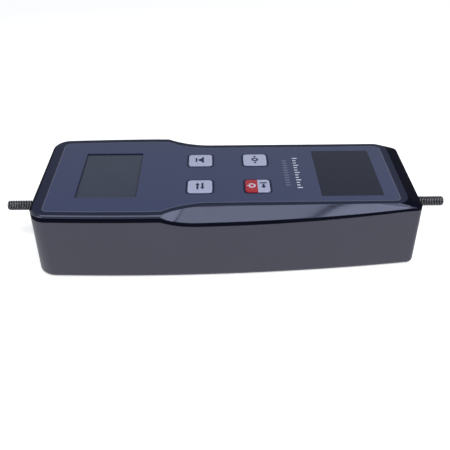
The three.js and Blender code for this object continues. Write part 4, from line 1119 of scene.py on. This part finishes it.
def battery_cells(finishes):
    """Three round cells; one is turned and the others are copies of it, the second turned about."""
    low, high = box_of("battery_1")
    centre = (low + high) / 2
    length = high.x - low.x
    profile = [(3.4, 0.0), (4.3, 0.0), (4.45, 0.15), (4.9, 0.15), (5.15, 0.3), (5.25, 0.6),
               (5.25, length - 1.4), (5.15, length - 1.1), (4.9, length - 0.95), (4.4, length - 0.95),
               (4.2, length - 0.8), (2.1, length - 0.8), (1.9, length - 0.7), (1.9, length - 0.15),
               (1.7, length)]
    first = turned("cell_1", (centre.y, centre.z), [(r, low.x + x) for r, x in profile], count=40)
    for face in first.data.polygons:
        reach = Vector((face.center.y / MM - centre.y, face.center.z / MM - centre.z)).length
        face.material_index = 1 if reach < 4.7 or len(face.vertices) > 4 else 0
    smooth(first, 35)
    cells = {"battery_1": first}
    for number in (2, 3):
        node = f"battery_{number}"
        copy = first.copy()
        copy.data = first.data.copy()
        copy.name = copy.data.name = f"cell_{number}"
        bpy.context.scene.collection.objects.link(copy)
        about = Matrix.Rotation(math.pi if number == 2 else 0.0, 4, "Z")
        copy.data.transform(Matrix.Translation(middle_of(node) * MM) @ about
                            @ Matrix.Translation(-centre * MM))
        cells[node] = copy
    for node, cell in cells.items():
        finish_piece(cell, node, "casing", [finishes["cell"], finishes["nickel"]])


# CAD nodes that stay, by their finish
CARRIED = {
    "chip": ["microcontroller", "converter_chip", "voltage_regulator"],
    "moulding": ["display_frame", "battery_tray"] + [f"tact_switch_{i}" for i in range(1, 5)],
    "board": ["main_board"],
    "lcd": ["display_glass"],
    "strip": ["contact_strip_near", "contact_strip_far"],
    "aluminium": ["load_cell", "cell_cover_top", "cell_cover_bottom", "capacitor_1", "capacitor_2"],
    "nickel": ["crystal"] + [f"battery_contact_{i}" for i in range(1, 5)],
    "nylon": ["sensor_connector", "battery_connector"],
    "foil": ["strain_gauge_near", "strain_gauge_far"],
    "lead": ["sensor_lead", "battery_lead"],
    "zinc": ["measuring_nut", "fixed_nut", "bracket_nut", "foot_bracket"] + BRACKET_SCREWS + CASE_SCREWS
            + BOARD_SCREWS,
}


def carried_nodes(finishes):
    for kind, nodes in CARRIED.items():
        for node in nodes:
            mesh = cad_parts[node].data
            mesh.materials.clear()
            mesh.materials.append(finishes[kind])


# Studio: lamp name, place and size in metres, tilt and turn in degrees, power in watts
SOFTBOXES = (
    ("overhead_softbox", (-0.20, -0.235, 0.80), (0.80, 0.43), 0.0, 0.0, 3.9),
    ("side_softbox", (0.523, -0.700, 0.80), (0.50, 1.26), 0.0, 6.0, 9.8),
    ("low_softbox", (-0.55, -0.45, 0.14), (0.30, 0.20), 90.0, -48.6, 1.2),
    ("front_softbox", (0.614, -1.465, 0.534), (0.50, 0.80), 72.0, 20.0, 3.5),
)
LAMP_COLOUR = (0.95, 0.97, 1.0)
WORLD_COLOUR = (0.97, 0.98, 1.0)
WORLD_LIGHT = 0.2
CAMERA_LENS = 52.8
CAMERA_PLACE = (-0.00649, -0.3345, 0.2384)
CAMERA_AIM = (0.01360, 0.81989, -0.57243)
CAMERA_ROLL = -0.09


def studio_floor():
    """Pale floor that fades to white far away from the object."""
    pick()
    bpy.ops.mesh.primitive_plane_add(size=8)
    floor = bpy.context.object
    floor.name = "studio_floor"
    f = Finish("pale_floor")
    across, along = f.axis("X"), f.axis("Y")
    far = f.rise((across * across + along * along).root(), 500.0, 1700.0)
    glow = f.between(f.seen() * (0.5 + far * 0.5), (0.0, 0.0, 0.0), (1.0, 1.0, 1.0))
    look = f.done((0.86, 0.86, 0.87), 0.7, gloss=0.1, Emission_Color=glow, Emission_Strength=1.0)
    floor.data.materials.append(look)


def studio_world():
    """White where it is seen, dimmer as a light."""
    world = bpy.data.worlds.new("studio")
    bpy.context.scene.world = world
    sky = NodeTree(world)
    strength = sky.seen() * (1.0 - WORLD_LIGHT) + WORLD_LIGHT
    background = sky.node("ShaderNodeBackground", inputs={"Color": WORLD_COLOUR, "Strength": strength})
    sky.node("ShaderNodeOutputWorld", inputs={"Surface": background})


def softbox(name, place, size, tilt, turn, power):
    """A panel that shines straight down at tilt 0 and level at tilt 90, turned about the vertical."""
    data = bpy.data.lights.new(name, "AREA")
    data.shape = "RECTANGLE"
    data.size, data.size_y = size
    data.energy = power
    data.color = LAMP_COLOUR
    lamp = bpy.data.objects.new(name, data)
    bpy.context.scene.collection.objects.link(lamp)
    lamp.location = place
    lamp.rotation_euler = (math.radians(tilt), 0.0, math.radians(turn))


def studio_camera():
    data = bpy.data.cameras.new("camera")
    data.lens = CAMERA_LENS
    data.sensor_width = 36.0
    camera = bpy.data.objects.new("camera", data)
    bpy.context.scene.collection.objects.link(camera)
    camera.location = CAMERA_PLACE
    turn = Vector(CAMERA_AIM).to_track_quat("-Z", "Y").to_matrix().to_4x4()
    roll = Matrix.Rotation(math.radians(CAMERA_ROLL), 4, "Z")
    camera.rotation_euler = (turn @ roll).to_euler()
    bpy.context.scene.camera = camera


def main():
    finishes = make_finishes()
    rear_shell(finishes)
    front_shell(finishes)
    front_label(finishes)
    sunk_plate("display_window", "window_lens", finishes["window"], 0.8,
               ((0, 0.15), (0.15, 0)))
    sunk_plate("blank_plate", "bare_plate", finishes["plate"], 0.7,
               ((0, 0.1), (0.04, 0.03), (0.12, 0)))
    keys(finishes)
    label_marks(finishes)
    stud("measuring_stud", "measuring_end", -1, finishes)
    stud("fixed_stud", "casing", 1, finishes)
    bush("guide_bush", -1, finishes)
    bush("foot_bush", 1, finishes)
    battery_door(finishes)
    battery_cells(finishes)
    carried_nodes(finishes)
    studio_floor()
    studio_world()
    for values in SOFTBOXES:
        softbox(*values)
    studio_camera()
    bpy.context.scene.view_settings.view_transform = "Standard"


main()
